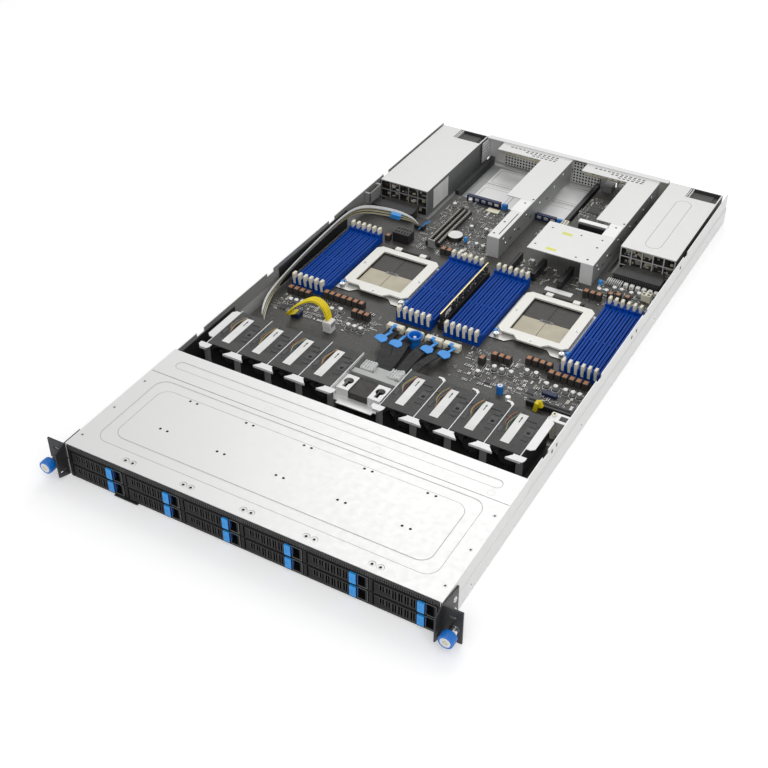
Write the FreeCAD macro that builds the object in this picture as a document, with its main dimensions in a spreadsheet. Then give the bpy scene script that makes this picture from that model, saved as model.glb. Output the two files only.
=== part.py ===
import FreeCAD, Part
import math
import os
import Sketcher
from types import SimpleNamespace

# A 1U two-socket rack server with its rear lid off.
# X runs to the right, Y to the rear and Z up, in millimetres.
# The origin is the middle of the underside of the chassis floor.
# Places along the machine are kept as distances behind the front face of the rack ears.

DIMENSIONS = {
    # whole machine
    "chassis_width": 438.5,
    "chassis_depth": 842.5,
    "chassis_height": 43.85,
    "sheet_gauge": 1.2,
    # chassis side walls, set in above the step to take the lid's side flanges
    "wall_step_height": 22.0,
    "wall_step": 1.35,
    "notch_first": 226.0,
    "notch_pitch": 145.0,
    "notch_width": 14.0,
    "notch_depth": 5.0,
    "floor_pad_rise": 0.8,
    "floor_pad_width": 52.0,
    "floor_pad_setback": 10.0,
    "floor_pad_length": 48.0,
    "floor_pad_gap": 8.0,
    "floor_pad_left": -86.0,
    "floor_pad_right": 7.0,
    # covers over the drive cage and in front of the fans
    "cover_gauge": 1.0,
    "cover_flange_bottom": 24.0,
    "cover_front": 2.4,
    "cover_seam": 144.5,
    "cover_seam_gap": 0.3,
    "fan_cover_rear": 188.5,
    "emboss_depth": 0.4,
    "emboss_margin": 21.25,
    "emboss_front": 24.5,
    "emboss_rear": 137.0,
    "emboss_band": 12.5,
    "emboss_corner": 14.0,
    "groove_margin": 19.25,
    "groove_middle": 167.0,
    "groove_width": 12.0,
    # drive cage, six columns of bays in two rows
    "bay_columns": 6,
    "bay_pitch": 72.0,
    "bay_width": 71.2,
    "bay_floor": 3.4,
    "bay_height": 16.8,
    "bay_row_pitch": 17.4,
    "cage_front": 1.0,
    "cage_rear": 128.0,
    "cage_side_gap": 0.3,
    "cage_skin": 0.8,
    "vent_width": 64.0,
    "vent_height": 2.6,
    # drive tray and its drive, measured from the middle of the tray's underside
    "tray_height": 16.4,
    "tray_front": 0.2,
    "tray_bezel_depth": 9.0,
    "tray_length": 118.0,
    "tray_rail": 0.45,
    "tray_floor": 0.9,
    "drive_width": 69.85,
    "drive_length": 100.2,
    "drive_height": 14.8,
    "drive_rear": 119.5,
    "recess_half_width": 32.0,
    "recess_depth": 7.0,
    # tray lever with its release button
    "lever_thickness": 4.8,
    "lever_front": -0.2,
    "lever_play": 0.4,
    "lever_pivot_x": -29.0,
    "lever_pin_radius": 1.0,
    "pin_clearance": 0.06,
    "lever_end": 23.0,
    "button_start": 15.6,
    "button_proud": 1.2,
    "button_back": 1.2,
    "slot_count": 6,
    "slot_width": 4.6,
    "slot_pitch": 6.5,
    "slot_first": -24.0,
    "slot_margin": 1.8,
    # drive backplane
    "backplane_gauge": 2.4,
    "backplane_margin": 2.7,
    "backplane_top": 37.0,
    "drive_plug_width": 48.0,
    "drive_plug_height": 6.0,
    "drive_plug_depth": 8.0,
    # rack ears, which make the machine 482.6 wide over both
    "ear_reach": 22.05,
    "ear_gauge": 2.0,
    "ear_plate": 1.6,
    "ear_bottom": 2.0,
    "ear_top": 43.4,
    "ear_plate_length": 33.0,
    "ear_plate_top": 38.0,
    "wing_reach": 13.5,
    "wing_slope": 5.0,
    "wing_slot_width": 3.0,
    "wing_slot_length": 8.0,
    "ear_slot_width": 7.0,
    "ear_slot_height": 2.4,
    "ear_slot_z": 32.5,
    # captive thumbscrews
    "screw_offset": 13.95,
    "screw_z": 18.5,
    "knob_radius": 7.6,
    "knob_front": -18.0,
    "knob_length": 9.6,
    "sleeve_radius": 4.8,
    "sleeve_length": 8.0,
    "shank_radius": 3.0,
    "shank_clearance": 0.06,
    "thread_radius": 2.5,
    "thread_length": 12.0,
    # pull-out tag under the first bay
    "tag_x": -143.0,
    "tag_width": 30.0,
    "tag_length": 66.0,
    "tag_gauge": 1.2,
    "tag_play": 0.2,
    "tag_proud": 3.0,
    # fan row
    "fan_size": 40.0,
    "fan_pitch": 41.4,
    "fan_group_x": 113.6,
    "divider_gauge": 1.0,
    "divider_front": 217.5,
    "divider_length": 72.5,
    "divider_top": 42.6,
    "fan_tray_gauge": 1.0,
    "fan_front": 219.0,
    "fan_length": 69.0,
    "fan_bore_radius": 18.6,
    "fan_mount_length": 15.0,
    "fan_saddle_depth": 0.6,
    "fan_spider_depth": 5.0,
    "fan_arm_width": 2.4,
    "fan_hub_radius": 9.0,
    "rotor_tip_gap": 0.7,
    "rotor_front": 9.0,
    "rotor_length": 26.0,
    "rotor_shaft_radius": 1.5,
    "rotor_clearance": 0.06,
    "blade_count": 5,
    "blade_gauge": 1.1,
    "blade_chord": 24.0,
    "blade_taper": 0.8,
    "blade_pitch": 38.0,
    "post_width": 8.0,
    "tab_width": 15.0,
    "tab_reach": 8.0,
    "tab_slant": 4.0,
    "tab_hook": 3.0,
    "end_plate_width": 10.0,
    "end_plate_front": 230.0,
    "end_plate_length": 56.0,
    # centre bracket between the two fan groups
    "bracket_floor": 27.0,
    "bracket_front": 213.0,
    "bracket_rear": 289.0,
    "bracket_bar": 258.0,
    "bracket_bar_top": 39.0,
    "keyhole_front": 226.5,
    "keyhole_length": 26.5,
    "keyhole_width": 15.5,
    "keyhole_top": 38.0,
    "keyhole_radius": 5.6,
    "keyhole_neck": 4.8,
    "keyhole_left": -22.0,
    "keyhole_right": 18.0,
    "guide_height": 8.2,
    "guide_gap": 0.45,
    # motherboard
    "board_gauge": 2.4,
    "standoff_height": 6.5,
    "standoff_radius": 3.0,
    "board_margin": 3.7,
    "board_front": 300.0,
    "board_shoulder_gap": 18.0,
    "board_rear_setback": 130.5,
    "board_tail_setback": 4.5,
    "board_tail_left": 42.0,
    "board_neck_left": -130.0,
    "board_neck_right": 131.0,
    # processor sockets and their hinged frames
    "socket_left_x": -104.0,
    "socket_right_x": 110.0,
    "socket_bias": 34.0,
    "socket_width": 84.0,
    "socket_length": 86.0,
    "socket_height": 4.5,
    "field_width": 64.0,
    "field_length": 74.0,
    "field_depth": 1.5,
    "frame_width": 91.0,
    "frame_length": 94.0,
    "frame_gauge": 2.4,
    "frame_corner": 6.0,
    "frame_tab_width": 44.0,
    "frame_tab_reach": 7.0,
    "frame_gap": 0.3,
    "hinge_radius": 1.5,
    "hinge_clearance": 0.05,
    "hinge_barrel": 2.6,
    "barrel_length": 9.0,
    "barrel_x": 18.0,
    "hinge_lug": 4.0,
    "base_plate_gap": 1.4,
    "base_plate_front": 57.0,
    "base_plate_gauge": 1.2,
    "base_plate_notch": 8.0,
    "base_post_radius": 2.4,
    "base_post_height": 7.0,
    "base_post_inset": 8.0,
    # memory sockets, four banks of six
    "bank_offset": 75.0,
    "bank_slots": 6,
    "slot_spacing": 8.0,
    "memory_lead": 8.0,
    "memory_length": 130.0,
    "memory_width": 7.2,
    "memory_height": 10.4,
    "memory_groove": 1.6,
    "memory_groove_depth": 6.0,
    "tower_length": 9.0,
    "tower_height": 14.0,
    "latch_width": 3.6,
    "latch_play": 0.15,
    "latch_pocket": 3.1,
    "latch_height": 18.0,
    "latch_depth": 3.4,
    "latch_thumb": 2.0,
    # power supplies
    "supply_width": 73.5,
    "supply_height": 39.4,
    "supply_setback": 2.5,
    "supply_length": 190.0,
    "supply_left_gap": 1.75,
    "supply_right_gap": 5.15,
    "supply_lift": 0.2,
    "supply_grille_rows": 3,
    "supply_grille_columns": 5,
    "grille_bar": 1.8,
    "grille_depth": 5.0,
    "fan_recess_width": 42.0,
    "fan_recess_length": 28.0,
    "fan_recess_depth": 5.0,
    "inlet_width": 27.0,
    "inlet_height": 20.0,
    "inlet_depth": 16.0,
    "handle_reach": 17.0,
    "handle_bar": 4.0,
    "handle_x": 8.0,
    "handle_low": 8.0,
    "handle_high": 27.0,
    "release_x": 30.0,
    "release_gauge": 2.6,
    "release_reach": 12.0,
    # riser cages
    "riser_top": 40.0,
    "riser_offset": 105.0,
    "riser_setback": 10.5,
    "riser_left_wall": -5.0,
    "riser_right_wall": 125.0,
    "riser_foot": 17.0,
    "riser_flange_length": 74.0,
    "riser_plate_length": 114.0,
    "riser_plate_width": 40.0,
    "riser_deck_length": 20.0,
    "riser_span": 108.0,
    "riser_bracket_bottom": 24.0,
    "riser_slot_count": 9,
    "riser_bar_height": 0.8,
    "shelf_width": 91.0,
    "riser_card_gap": 3.4,
    "riser_card_gauge": 1.6,
    "riser_card_length": 100.0,
    # rear panel
    "panel_left_gap": 2.45,
    "panel_right_gap": 2.05,
    "panel_top": 41.0,
    "panel_flange": 9.5,
    "panel_hole": 5.6,
    "panel_hole_pitch": 8.4,
    "panel_hole_height": 12.0,
    "panel_hole_columns": 6,
    "panel_hole_bottom": 5.0,
    "port_bottom": 10.6,
    "port_height": 11.0,
    "port_width": 15.0,
    "port_pitch": 19.5,
    "port_count": 4,
    "port_depth": 16.0,
    # parts on the board
    "choke_width": 7.0,
    "choke_length": 8.6,
    "choke_height": 9.0,
    "choke_pitch": 8.4,
    "slot_body_width": 7.5,
    "slot_body_height": 9.0,
    "slot_body_length": 89.0,
    "centre_card_x": 3.0,
    "centre_card_gauge": 1.6,
    "centre_card_top": 33.0,
    "supply_plug_height": 12.0,
    "supply_plug_depth": 18.0,
    "supply_plug_width": 62.0,
    "supply_card_width": 52.0,
    "supply_card_gauge": 1.6,
    "supply_card_entry": 10.0,
    "supply_card_play": 0.4,
    "battery_offset": 122.0,
    "battery_radius": 10.0,
    "battery_height": 6.0,
    "data_plug_width": 22.0,
    "data_plug_depth": 8.0,
    "data_plug_height": 7.0,
    "data_plug_lead": 101.0,
    "rear_rail_width": 6.0,
    "rear_rail_height": 12.0,
    # cables held inside the machine
    "power_cable_radius": 4.6,
    "power_plug_width": 11.0,
    "data_cable_width": 16.0,
    "data_cable_thick": 3.6,
    "data_cable_gather": 18.0,
    "data_cable_high": 22.0,
}

DOC = FreeCAD.newDocument("RackServer")
SHEET = DOC.addObject("Spreadsheet::Sheet", "Dims")


class Size:
    """A length that keeps its number and the sheet expression that it comes from together."""

    def __init__(self, number, text):
        self.number = number
        self.text = text

    def __add__(self, other):
        other = as_size(other)
        return Size(self.number + other.number, "(%s + %s)" % (self.text, other.text))

    __radd__ = __add__

    def __sub__(self, other):
        other = as_size(other)
        return Size(self.number - other.number, "(%s - %s)" % (self.text, other.text))

    def __rsub__(self, other):
        return as_size(other) - self

    def __mul__(self, factor):
        factor = as_size(factor)
        return Size(self.number * factor.number, "(%s * %s)" % (self.text, factor.text))

    __rmul__ = __mul__

    def __truediv__(self, factor):
        factor = as_size(factor)
        return Size(self.number / factor.number, "(%s / %s)" % (self.text, factor.text))

    def __neg__(self):
        return Size(-self.number, "(0 - %s)" % self.text)


def as_size(thing):
    """Turn a plain number into a size."""
    if isinstance(thing, Size):
        return thing
    return Size(float(thing), "(%r)" % float(thing))


def fill_sheet():
    """Write every driving dimension to the sheet and give back sizes by name."""
    sizes = {}
    for row, (alias, number) in enumerate(DIMENSIONS.items(), 1):
        SHEET.set("A%d" % row, alias.replace("_", " "))
        SHEET.set("B%d" % row, str(number))
        SHEET.setAlias("B%d" % row, alias)
        sizes[alias] = Size(float(number), "Dims." + alias)
    DOC.recompute()
    return SimpleNamespace(**sizes)


d = fill_sheet()


def behind(distance):
    """The Y of a place that far behind the front face of the ears."""
    return distance - d.chassis_depth / 2


def span(middle, width):
    """The two ends of a width about its middle."""
    return (middle - width / 2, middle + width / 2)


def bind(thing, prop, size):
    thing.setExpression(prop, as_size(size).text)


def place(thing, x, y, z):
    for axis, size in zip("xyz", (x, y, z)):
        bind(thing, "Placement.Base." + axis, size)


def block(name, x, y, z):
    """A box between pairs of X, Y and Z."""
    box = DOC.addObject("Part::Box", name)
    for prop, (low, high) in zip(("Length", "Width", "Height"), (x, y, z)):
        bind(box, prop, high - as_size(low))
    place(box, x[0], y[0], z[0])
    return box


TURN_ALONG = {
    "x": FreeCAD.Rotation(FreeCAD.Vector(0, 1, 0), 90),
    "y": FreeCAD.Rotation(FreeCAD.Vector(1, 0, 0), -90),
    "z": FreeCAD.Rotation(),
}


def rod(name, radius, start, length, along):
    """A cylinder from its start point along one axis."""
    cylinder = DOC.addObject("Part::Cylinder", name)
    bind(cylinder, "Radius", radius)
    bind(cylinder, "Height", length)
    cylinder.Placement = FreeCAD.Placement(FreeCAD.Vector(), TURN_ALONG[along])
    place(cylinder, *start)
    return cylinder


def prism(name, sides, corner_radius, start, length, along):
    """A regular prism from its start point along one axis, for small round work that repeats."""
    bar = DOC.addObject("Part::Prism", name)
    bar.Polygon = sides
    bind(bar, "Circumradius", corner_radius)
    bind(bar, "Height", length)
    bar.Placement = FreeCAD.Placement(FreeCAD.Vector(), TURN_ALONG[along])
    place(bar, *start)
    return bar


def over_flats(radius, sides):
    """The corner radius of a regular polygon whose flats lie at a radius."""
    return radius / math.cos(math.pi / sides)


def hexagon(x, y, inner_radius):
    """The corners of a hexagon, by the radius that touches its flats."""
    outer = over_flats(inner_radius, 6)
    turns = [math.pi / 3 * i for i in range(6)]
    return [(x + outer * math.cos(turn), y + outer * math.sin(turn)) for turn in turns]


def group(name, members):
    compound = DOC.addObject("Part::Compound", name)
    compound.Links = list(members)
    return compound


def fuse(name, members):
    joined = DOC.addObject("Part::MultiFuse", name)
    joined.Shapes = list(members)
    joined.Refine = True
    return joined


def cut(name, base, tools):
    """Take one tool, or a group of tools that stand apart, out of a base."""
    result = DOC.addObject("Part::Cut", name)
    result.Base = base
    result.Tool = tools[0] if len(tools) == 1 else group(name + "_tools", tools)
    return result


def placed_copy(name, master, x, y, z):
    """A sub-part that repeats a master at a place of its own."""
    copy = group(name, [master])
    place(copy, x, y, z)
    return copy


def repeated(name, master, spots):
    """One sub-part of several equal solids, a master moved to each spot."""
    copies = DOC.addObject("Part::Feature", name)
    shapes = []
    for spot in spots:
        shapes.append(master.Shape.translated(FreeCAD.Vector(*[as_size(v).number for v in spot])))
    copies.Shape = Part.makeCompound(shapes)
    return copies


def rounded_block(name, x, y, z, radius):
    """A box whose four upright edges are rounded."""
    box = block(name + "_square", x, y, z)
    DOC.recompute()
    fillet = DOC.addObject("Part::Fillet", name)
    fillet.Base = box
    edges = []
    for number, edge in enumerate(box.Shape.Edges, 1):
        low, high = edge.Vertexes[0].Point, edge.Vertexes[-1].Point
        if abs(low.x - high.x) < 1e-6 and abs(low.y - high.y) < 1e-6:
            edges.append((number, radius.number, radius.number))
    fillet.Edges = edges
    return fillet


def plane_of(body, role):
    return next(item for item in body.Origin.OriginFeatures if item.Role == role)


def sketch_on(body, role, outlines):
    """A fully bound sketch of polygons on one of a body's own planes."""
    sketch = body.newObject("Sketcher::SketchObject", body.Name + "_sketch")
    sketch.AttachmentSupport = [(plane_of(body, role), "")]
    sketch.MapMode = "FlatFace"
    for outline in outlines:
        corners = [(as_size(a), as_size(b)) for a, b in outline]
        points = [FreeCAD.Vector(a.number, b.number, 0) for a, b in corners]
        first = sketch.GeometryCount
        count = len(points)
        for i in range(count):
            sketch.addGeometry(Part.LineSegment(points[i], points[(i + 1) % count]), False)
        for i in range(count):
            joint = Sketcher.Constraint("Coincident", first + i, 2, first + (i + 1) % count, 1)
            sketch.addConstraint(joint)
        for i, corner in enumerate(corners):
            pin_start(sketch, first + i, corner)
    return sketch


def pin_start(sketch, line, corner):
    """Tie the start of a sketch line to the sheet in both directions."""
    for kind, size in zip(("DistanceX", "DistanceY"), corner):
        rule = Sketcher.Constraint(kind, -1, 1, line, 1, size.number)
        bind(sketch, "Constraints[%d]" % sketch.addConstraint(rule), size)


def new_body(name):
    return DOC.addObject("PartDesign::Body", name)


def pad(body, role, outlines, length, backwards=False):
    feature = body.newObject("PartDesign::Pad", body.Name + "_pad")
    feature.Profile = sketch_on(body, role, outlines)
    bind(feature, "Length", length)
    feature.Reversed = backwards
    return feature


def pocket_through(body, role, outlines):
    """Cut outlines right through a body, both ways from one of its planes."""
    feature = body.newObject("PartDesign::Pocket", body.Name + "_pocket")
    feature.Profile = sketch_on(body, role, outlines)
    feature.Type = "ThroughAll"
    feature.Midplane = True
    return feature


def rectangle(x, y):
    return [(x[0], y[0]), (x[1], y[0]), (x[1], y[1]), (x[0], y[1])]


# Sides of the prisms that stand for small pins, bores, hubs, ducts and grips.
BORE_SIDES = 6
PIN_SIDES = 8
HUB_SIDES = 10
DUCT_SIDES = 20
GRIP_SIDES = 24
LEAD_SIDES = 6

HALF = d.chassis_width / 2
LID_UNDERSIDE = d.chassis_height - d.cover_gauge
WALL_INSIDE = HALF - d.wall_step - d.sheet_gauge
BOARD_UNDERSIDE = d.sheet_gauge + d.standoff_height
BOARD_TOP = BOARD_UNDERSIDE + d.board_gauge
REAR = d.chassis_depth / 2
SCREW_X = HALF + d.screw_offset
BOARD_HALF = WALL_INSIDE - d.board_margin
SUPPLY_LEFT_X = d.supply_left_gap + d.supply_width / 2 - WALL_INSIDE
SUPPLY_RIGHT_X = WALL_INSIDE - d.supply_right_gap - d.supply_width / 2

# Distances behind the ears that follow from the depth of the chassis, from the rear to the front.
SUPPLY_FRONT = d.chassis_depth - d.supply_setback - d.supply_length
RISER_REAR = d.chassis_depth - d.riser_setback
DECK_FRONT = RISER_REAR - d.riser_deck_length
BOARD_TAIL = d.chassis_depth - d.board_tail_setback
BOARD_REAR = d.chassis_depth - d.board_rear_setback
BOARD_SHOULDER = SUPPLY_FRONT - d.board_shoulder_gap
FANS_REAR = d.fan_front + d.fan_length
SOCKET_Y = (FANS_REAR + BOARD_SHOULDER - d.supply_plug_depth) / 2 + d.socket_bias
RISER_FRONT = SOCKET_Y + d.riser_offset
MEMORY_Y = SOCKET_Y - d.memory_lead
DATA_PLUG_Y = SOCKET_Y - d.data_plug_lead


def make_chassis():
    """Folded base tray: floor, stepped side walls, lid notches, floor pads and board standoffs."""
    body = new_body("chassis")
    step_top = d.wall_step_height + d.wall_step
    right_wall = [
        (HALF, 0),
        (HALF, d.wall_step_height),
        (HALF - d.wall_step, step_top),
        (HALF - d.wall_step, LID_UNDERSIDE),
        (WALL_INSIDE, LID_UNDERSIDE),
        (WALL_INSIDE, step_top),
        (HALF - d.sheet_gauge, d.wall_step_height),
        (HALF - d.sheet_gauge, d.sheet_gauge),
    ]
    left_wall = [(-as_size(a), b) for a, b in reversed(right_wall)]
    pad(body, "XZ_Plane", [right_wall + left_wall], d.chassis_depth - d.ear_gauge, backwards=True)

    floor_pads = []
    for middle in (d.floor_pad_left, d.floor_pad_right):
        for row in range(2):
            step = (d.floor_pad_length + d.floor_pad_gap) * row
            start = BOARD_REAR + d.floor_pad_setback + step - d.ear_gauge
            ends = (start, start + d.floor_pad_length)
            floor_pads.append(rectangle(span(middle, d.floor_pad_width), ends))
    pad(body, "XY_Plane", floor_pads, d.sheet_gauge + d.floor_pad_rise)

    inset = d.standoff_radius * 3
    standoffs = []
    for x in (inset - BOARD_HALF, d.centre_card_x, BOARD_HALF - inset):
        for y in (d.board_front + inset, BOARD_SHOULDER - inset):
            standoffs.append(hexagon(x, y - d.ear_gauge, d.standoff_radius))
    pad(body, "XY_Plane", standoffs, BOARD_UNDERSIDE)

    notches = []
    for i in range(4):
        start = d.notch_first + d.notch_pitch * i - d.ear_gauge
        height = (LID_UNDERSIDE - d.notch_depth, LID_UNDERSIDE + d.notch_depth)
        notches.append(rectangle((start, start + d.notch_width), height))
    pocket_through(body, "YZ_Plane", notches)
    place(body, 0, behind(d.ear_gauge), 0)
    return body


def make_cover(name, front, rear, recess_tools):
    """A folded cover with side flanges that lie over the chassis walls."""
    body = new_body(name + "_folded")
    inside = HALF - d.cover_gauge
    profile = [
        (-HALF, d.cover_flange_bottom),
        (-HALF, d.chassis_height),
        (HALF, d.chassis_height),
        (HALF, d.cover_flange_bottom),
        (inside, d.cover_flange_bottom),
        (inside, LID_UNDERSIDE),
        (-inside, LID_UNDERSIDE),
        (-inside, d.cover_flange_bottom),
    ]
    pad(body, "XZ_Plane", [profile], rear - front, backwards=True)
    place(body, 0, behind(front), 0)
    return cut(name, body, recess_tools)


def make_front_cover():
    """Cover over the drives, with a pressed band round its middle."""
    depth = (d.chassis_height - d.emboss_depth, d.chassis_height + d.emboss_depth)
    outer_half = HALF - d.emboss_margin
    outer = rounded_block(
        "emboss_outer",
        (-outer_half, outer_half),
        (behind(d.emboss_front), behind(d.emboss_rear)),
        depth,
        d.emboss_corner,
    )
    inner_half = outer_half - d.emboss_band
    inner = rounded_block(
        "emboss_inner",
        (-inner_half, inner_half),
        (behind(d.emboss_front + d.emboss_band), behind(d.emboss_rear - d.emboss_band)),
        depth,
        d.emboss_corner,
    )
    band = cut("emboss_band_tool", outer, [inner])
    return make_cover("front_cover", d.cover_front, d.cover_seam, [band])


def make_fan_bay_cover():
    """Narrow cover in front of the fans, with one long pressed groove."""
    half = HALF - d.groove_margin
    groove = rounded_block(
        "groove_tool",
        (-half, half),
        (behind(d.groove_middle - d.groove_width / 2), behind(d.groove_middle + d.groove_width / 2)),
        (d.chassis_height - d.emboss_depth, d.chassis_height + d.emboss_depth),
        d.groove_width * 0.49,
    )
    return make_cover("fan_bay_cover", d.cover_seam + d.cover_seam_gap, d.fan_cover_rear, [groove])


def bay_middle(column):
    return d.bay_pitch * (column - (d.bay_columns.number - 1) / 2)


def bay_bottom(row):
    return d.bay_floor + d.bay_row_pitch * row


def make_drive_cage():
    """Black bezel and cage: bays in two rows, an air duct over them and the tag's slot below."""
    half = WALL_INSIDE - d.cage_side_gap
    front, rear = behind(d.cage_front), behind(d.cage_rear)
    shell = block("cage_shell", (-half, half), (front, rear), (d.sheet_gauge, LID_UNDERSIDE))
    duct_floor = bay_bottom(1) + d.bay_height + d.cage_skin
    tools = []
    for column in range(int(d.bay_columns.number)):
        x = span(bay_middle(column), d.bay_width)
        for row in range(2):
            z = (bay_bottom(row), bay_bottom(row) + d.bay_height)
            tools.append(block("bay_tool", x, (front - d.cage_skin, rear + d.cage_skin), z))
        slot_x = span(bay_middle(column), d.vent_width)
        slot_z = span((duct_floor + LID_UNDERSIDE - d.cage_skin) / 2, d.vent_height)
        tools.append(block("vent_tool", slot_x, (front - d.cage_skin, front + d.cage_skin), slot_z))
    tools.append(block(
        "duct_tool",
        (d.cage_skin - half, half - d.cage_skin),
        (front + d.cage_skin, rear + d.cage_skin),
        (duct_floor, LID_UNDERSIDE - d.cage_skin),
    ))
    tools.append(block(
        "tag_slot_tool",
        span(d.tag_x, d.tag_width + d.tag_play * 2),
        (front - d.cage_skin, front + d.tag_length + d.tag_play),
        (d.sheet_gauge, d.sheet_gauge + d.tag_gauge + d.tag_play * 2),
    ))
    return cut("drive_cage", shell, tools)


def make_tray_master():
    """Drive tray with a bezel round the lever's recess, and the drive lying in it."""
    half = d.drive_width / 2 + d.tray_rail
    bezel_rear = behind(d.tray_front + d.tray_bezel_depth)
    front, rear = behind(d.tray_front), behind(d.tray_front + d.tray_length)
    drive_front = behind(d.drive_rear - d.drive_length)
    solid = block("tray_solid", (-half, half), (front, rear), (0, d.tray_height))
    hollow = block(
        "tray_hollow",
        (-d.drive_width / 2, d.drive_width / 2),
        (bezel_rear, rear + d.tray_rail),
        (d.tray_floor, d.tray_height + d.tray_rail),
    )
    recess = block(
        "tray_recess",
        (-d.recess_half_width, d.recess_half_width),
        (front - d.tray_rail, front + d.recess_depth),
        (d.tray_floor, d.tray_height - d.tray_floor),
    )
    pin = prism(
        "tray_pin",
        PIN_SIDES,
        d.lever_pin_radius,
        (d.lever_pivot_x, behind(lever_pivot_depth()), d.tray_floor / 2),
        d.tray_height - d.tray_floor,
        "z",
    )
    carrier = fuse("tray_carrier", [cut("tray_open", solid, [hollow, recess]), pin])
    drive = block(
        "tray_drive",
        (-d.drive_width / 2, d.drive_width / 2),
        (drive_front, drive_front + d.drive_length),
        (d.tray_floor, d.tray_floor + d.drive_height),
    )
    return group("tray_master", [carrier, drive])


def lever_pivot_depth():
    return d.lever_front + d.lever_thickness / 2


def make_lever_master():
    """Tray lever: a slotted grille that turns on the tray's pin, with a release button at its end."""
    knuckle = d.lever_thickness / 2
    low = d.tray_floor + d.lever_play
    high = d.tray_height - d.tray_floor - d.lever_play
    front, rear = behind(d.lever_front), behind(d.lever_front + d.lever_thickness)
    pivot_x, pivot_y = d.lever_pivot_x, behind(lever_pivot_depth())
    back = rear - d.button_back
    flat = knuckle * math.tan(math.pi / 8)
    outline = [
        (pivot_x - knuckle, pivot_y - flat),
        (pivot_x - flat, front),
        (d.button_start, front),
        (d.button_start, back),
        (d.lever_end, back),
        (d.lever_end, rear),
        (pivot_x - flat, rear),
        (pivot_x - knuckle, pivot_y + flat),
    ]
    bore = hexagon(pivot_x, pivot_y, d.lever_pin_radius + d.pin_clearance)
    lever = new_body("lever_grille")
    pad(lever, "XY_Plane", [outline, bore], high - low)
    slots = []
    for i in range(int(d.slot_count.number)):
        x = d.slot_first + d.slot_pitch * i
        short = d.slot_margin * 2 if i < 2 else 0
        slots.append(rectangle((x, x + d.slot_width), (d.slot_margin + short, high - low - d.slot_margin)))
    pocket_through(lever, "XZ_Plane", slots)
    place(lever, 0, 0, low)
    button = block(
        "lever_button",
        (d.button_start, d.lever_end),
        (front - d.button_proud, back),
        (low + d.lever_play, high - d.lever_play),
    )
    return group("lever_master", [lever, button])


def make_drive_trays():
    """Twelve trays and levers, numbered along the top row and then along the bottom one."""
    tray, lever = make_tray_master(), make_lever_master()
    lift = (d.bay_height - d.tray_height) / 2
    trays, levers = [], []
    columns = int(d.bay_columns.number)
    for index in range(columns * 2):
        x = bay_middle(index % columns)
        z = bay_bottom(1 - index // columns) + lift
        trays.append(placed_copy("drive_tray_%d" % (index + 1), tray, x, 0, z))
        levers.append(placed_copy("tray_lever_%d" % (index + 1), lever, x, 0, z))
    return trays + levers


def make_backplane():
    """Circuit board across the rear of the cage with one plug for each drive."""
    front = behind(d.cage_rear)
    half = WALL_INSIDE - d.backplane_margin
    board = block(
        "backplane_board",
        (-half, half),
        (front, front + d.backplane_gauge),
        (d.sheet_gauge, d.backplane_top),
    )
    plugs = []
    for column in range(int(d.bay_columns.number)):
        for row in range(2):
            middle = bay_bottom(row) + d.bay_height / 2
            plugs.append(block(
                "drive_plug",
                span(bay_middle(column), d.drive_plug_width),
                (front - d.drive_plug_depth, front),
                span(middle, d.drive_plug_height),
            ))
    return fuse("backplane", [board] + plugs)


def make_rack_ears():
    """A pair of rack ears: flange, side plate with a forward wing, and the screw's sleeve."""
    body = new_body("ear_right_plate")
    slope = d.wing_slope
    side = [
        (-d.wing_reach, d.ear_bottom + slope),
        (0, d.ear_bottom),
        (d.ear_plate_length, d.ear_bottom),
        (d.ear_plate_length, d.ear_plate_top),
        (d.ear_gauge, d.ear_top),
        (0, d.ear_top),
        (-d.wing_reach, d.ear_top - slope),
    ]
    pad(body, "YZ_Plane", [side], d.ear_plate)
    slot_z = d.ear_bottom + slope + d.wing_slot_width
    wing_slot = rectangle(
        (d.wing_slot_width - d.wing_reach, d.wing_slot_width - d.wing_reach + d.wing_slot_length),
        (slot_z, slot_z + d.wing_slot_width),
    )
    pocket_through(body, "YZ_Plane", [wing_slot])
    place(body, HALF, behind(0), 0)

    flange = block(
        "ear_flange",
        (HALF, HALF + d.ear_reach),
        (behind(0), behind(d.ear_gauge)),
        (d.ear_bottom, d.ear_top),
    )
    sleeve = prism(
        "ear_sleeve",
        GRIP_SIDES,
        d.sleeve_radius,
        (SCREW_X, behind(-d.sleeve_length), d.screw_z),
        d.sleeve_length,
        "y",
    )
    bore = prism(
        "ear_bore",
        BORE_SIDES,
        over_flats(d.shank_radius + d.shank_clearance, BORE_SIDES),
        (SCREW_X, behind(-d.sleeve_length * 2), d.screw_z),
        d.sleeve_length * 3,
        "y",
    )
    slot = block(
        "ear_slot",
        span(HALF + (d.ear_plate + d.ear_reach) / 2, d.ear_slot_width),
        (behind(-d.ear_gauge), behind(d.ear_gauge * 2)),
        span(d.ear_slot_z, d.ear_slot_height),
    )
    right = cut("ear_right", fuse("ear_right_joined", [body, flange, sleeve]), [bore, slot])
    left = DOC.addObject("Part::Mirroring", "ear_left")
    left.Source = right
    left.Normal = FreeCAD.Vector(1, 0, 0)
    return group("rack_ears", [right, left])


def make_thumbscrew(name, x):
    """Captive thumbscrew: many-sided grip, shank in the ear's sleeve and threaded end."""
    shank_front = d.knob_front + d.knob_length
    grip = prism(
        name + "_grip",
        GRIP_SIDES,
        d.knob_radius,
        (x, behind(d.knob_front), d.screw_z),
        d.knob_length,
        "y",
    )
    shank = prism(
        name + "_shank",
        GRIP_SIDES,
        d.shank_radius,
        (x, behind(shank_front), d.screw_z),
        d.ear_gauge - shank_front,
        "y",
    )
    thread = rod(
        name + "_thread",
        d.thread_radius,
        (x, behind(d.ear_gauge), d.screw_z),
        d.thread_length,
        "y",
    )
    return fuse(name, [grip, shank, thread])


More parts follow.
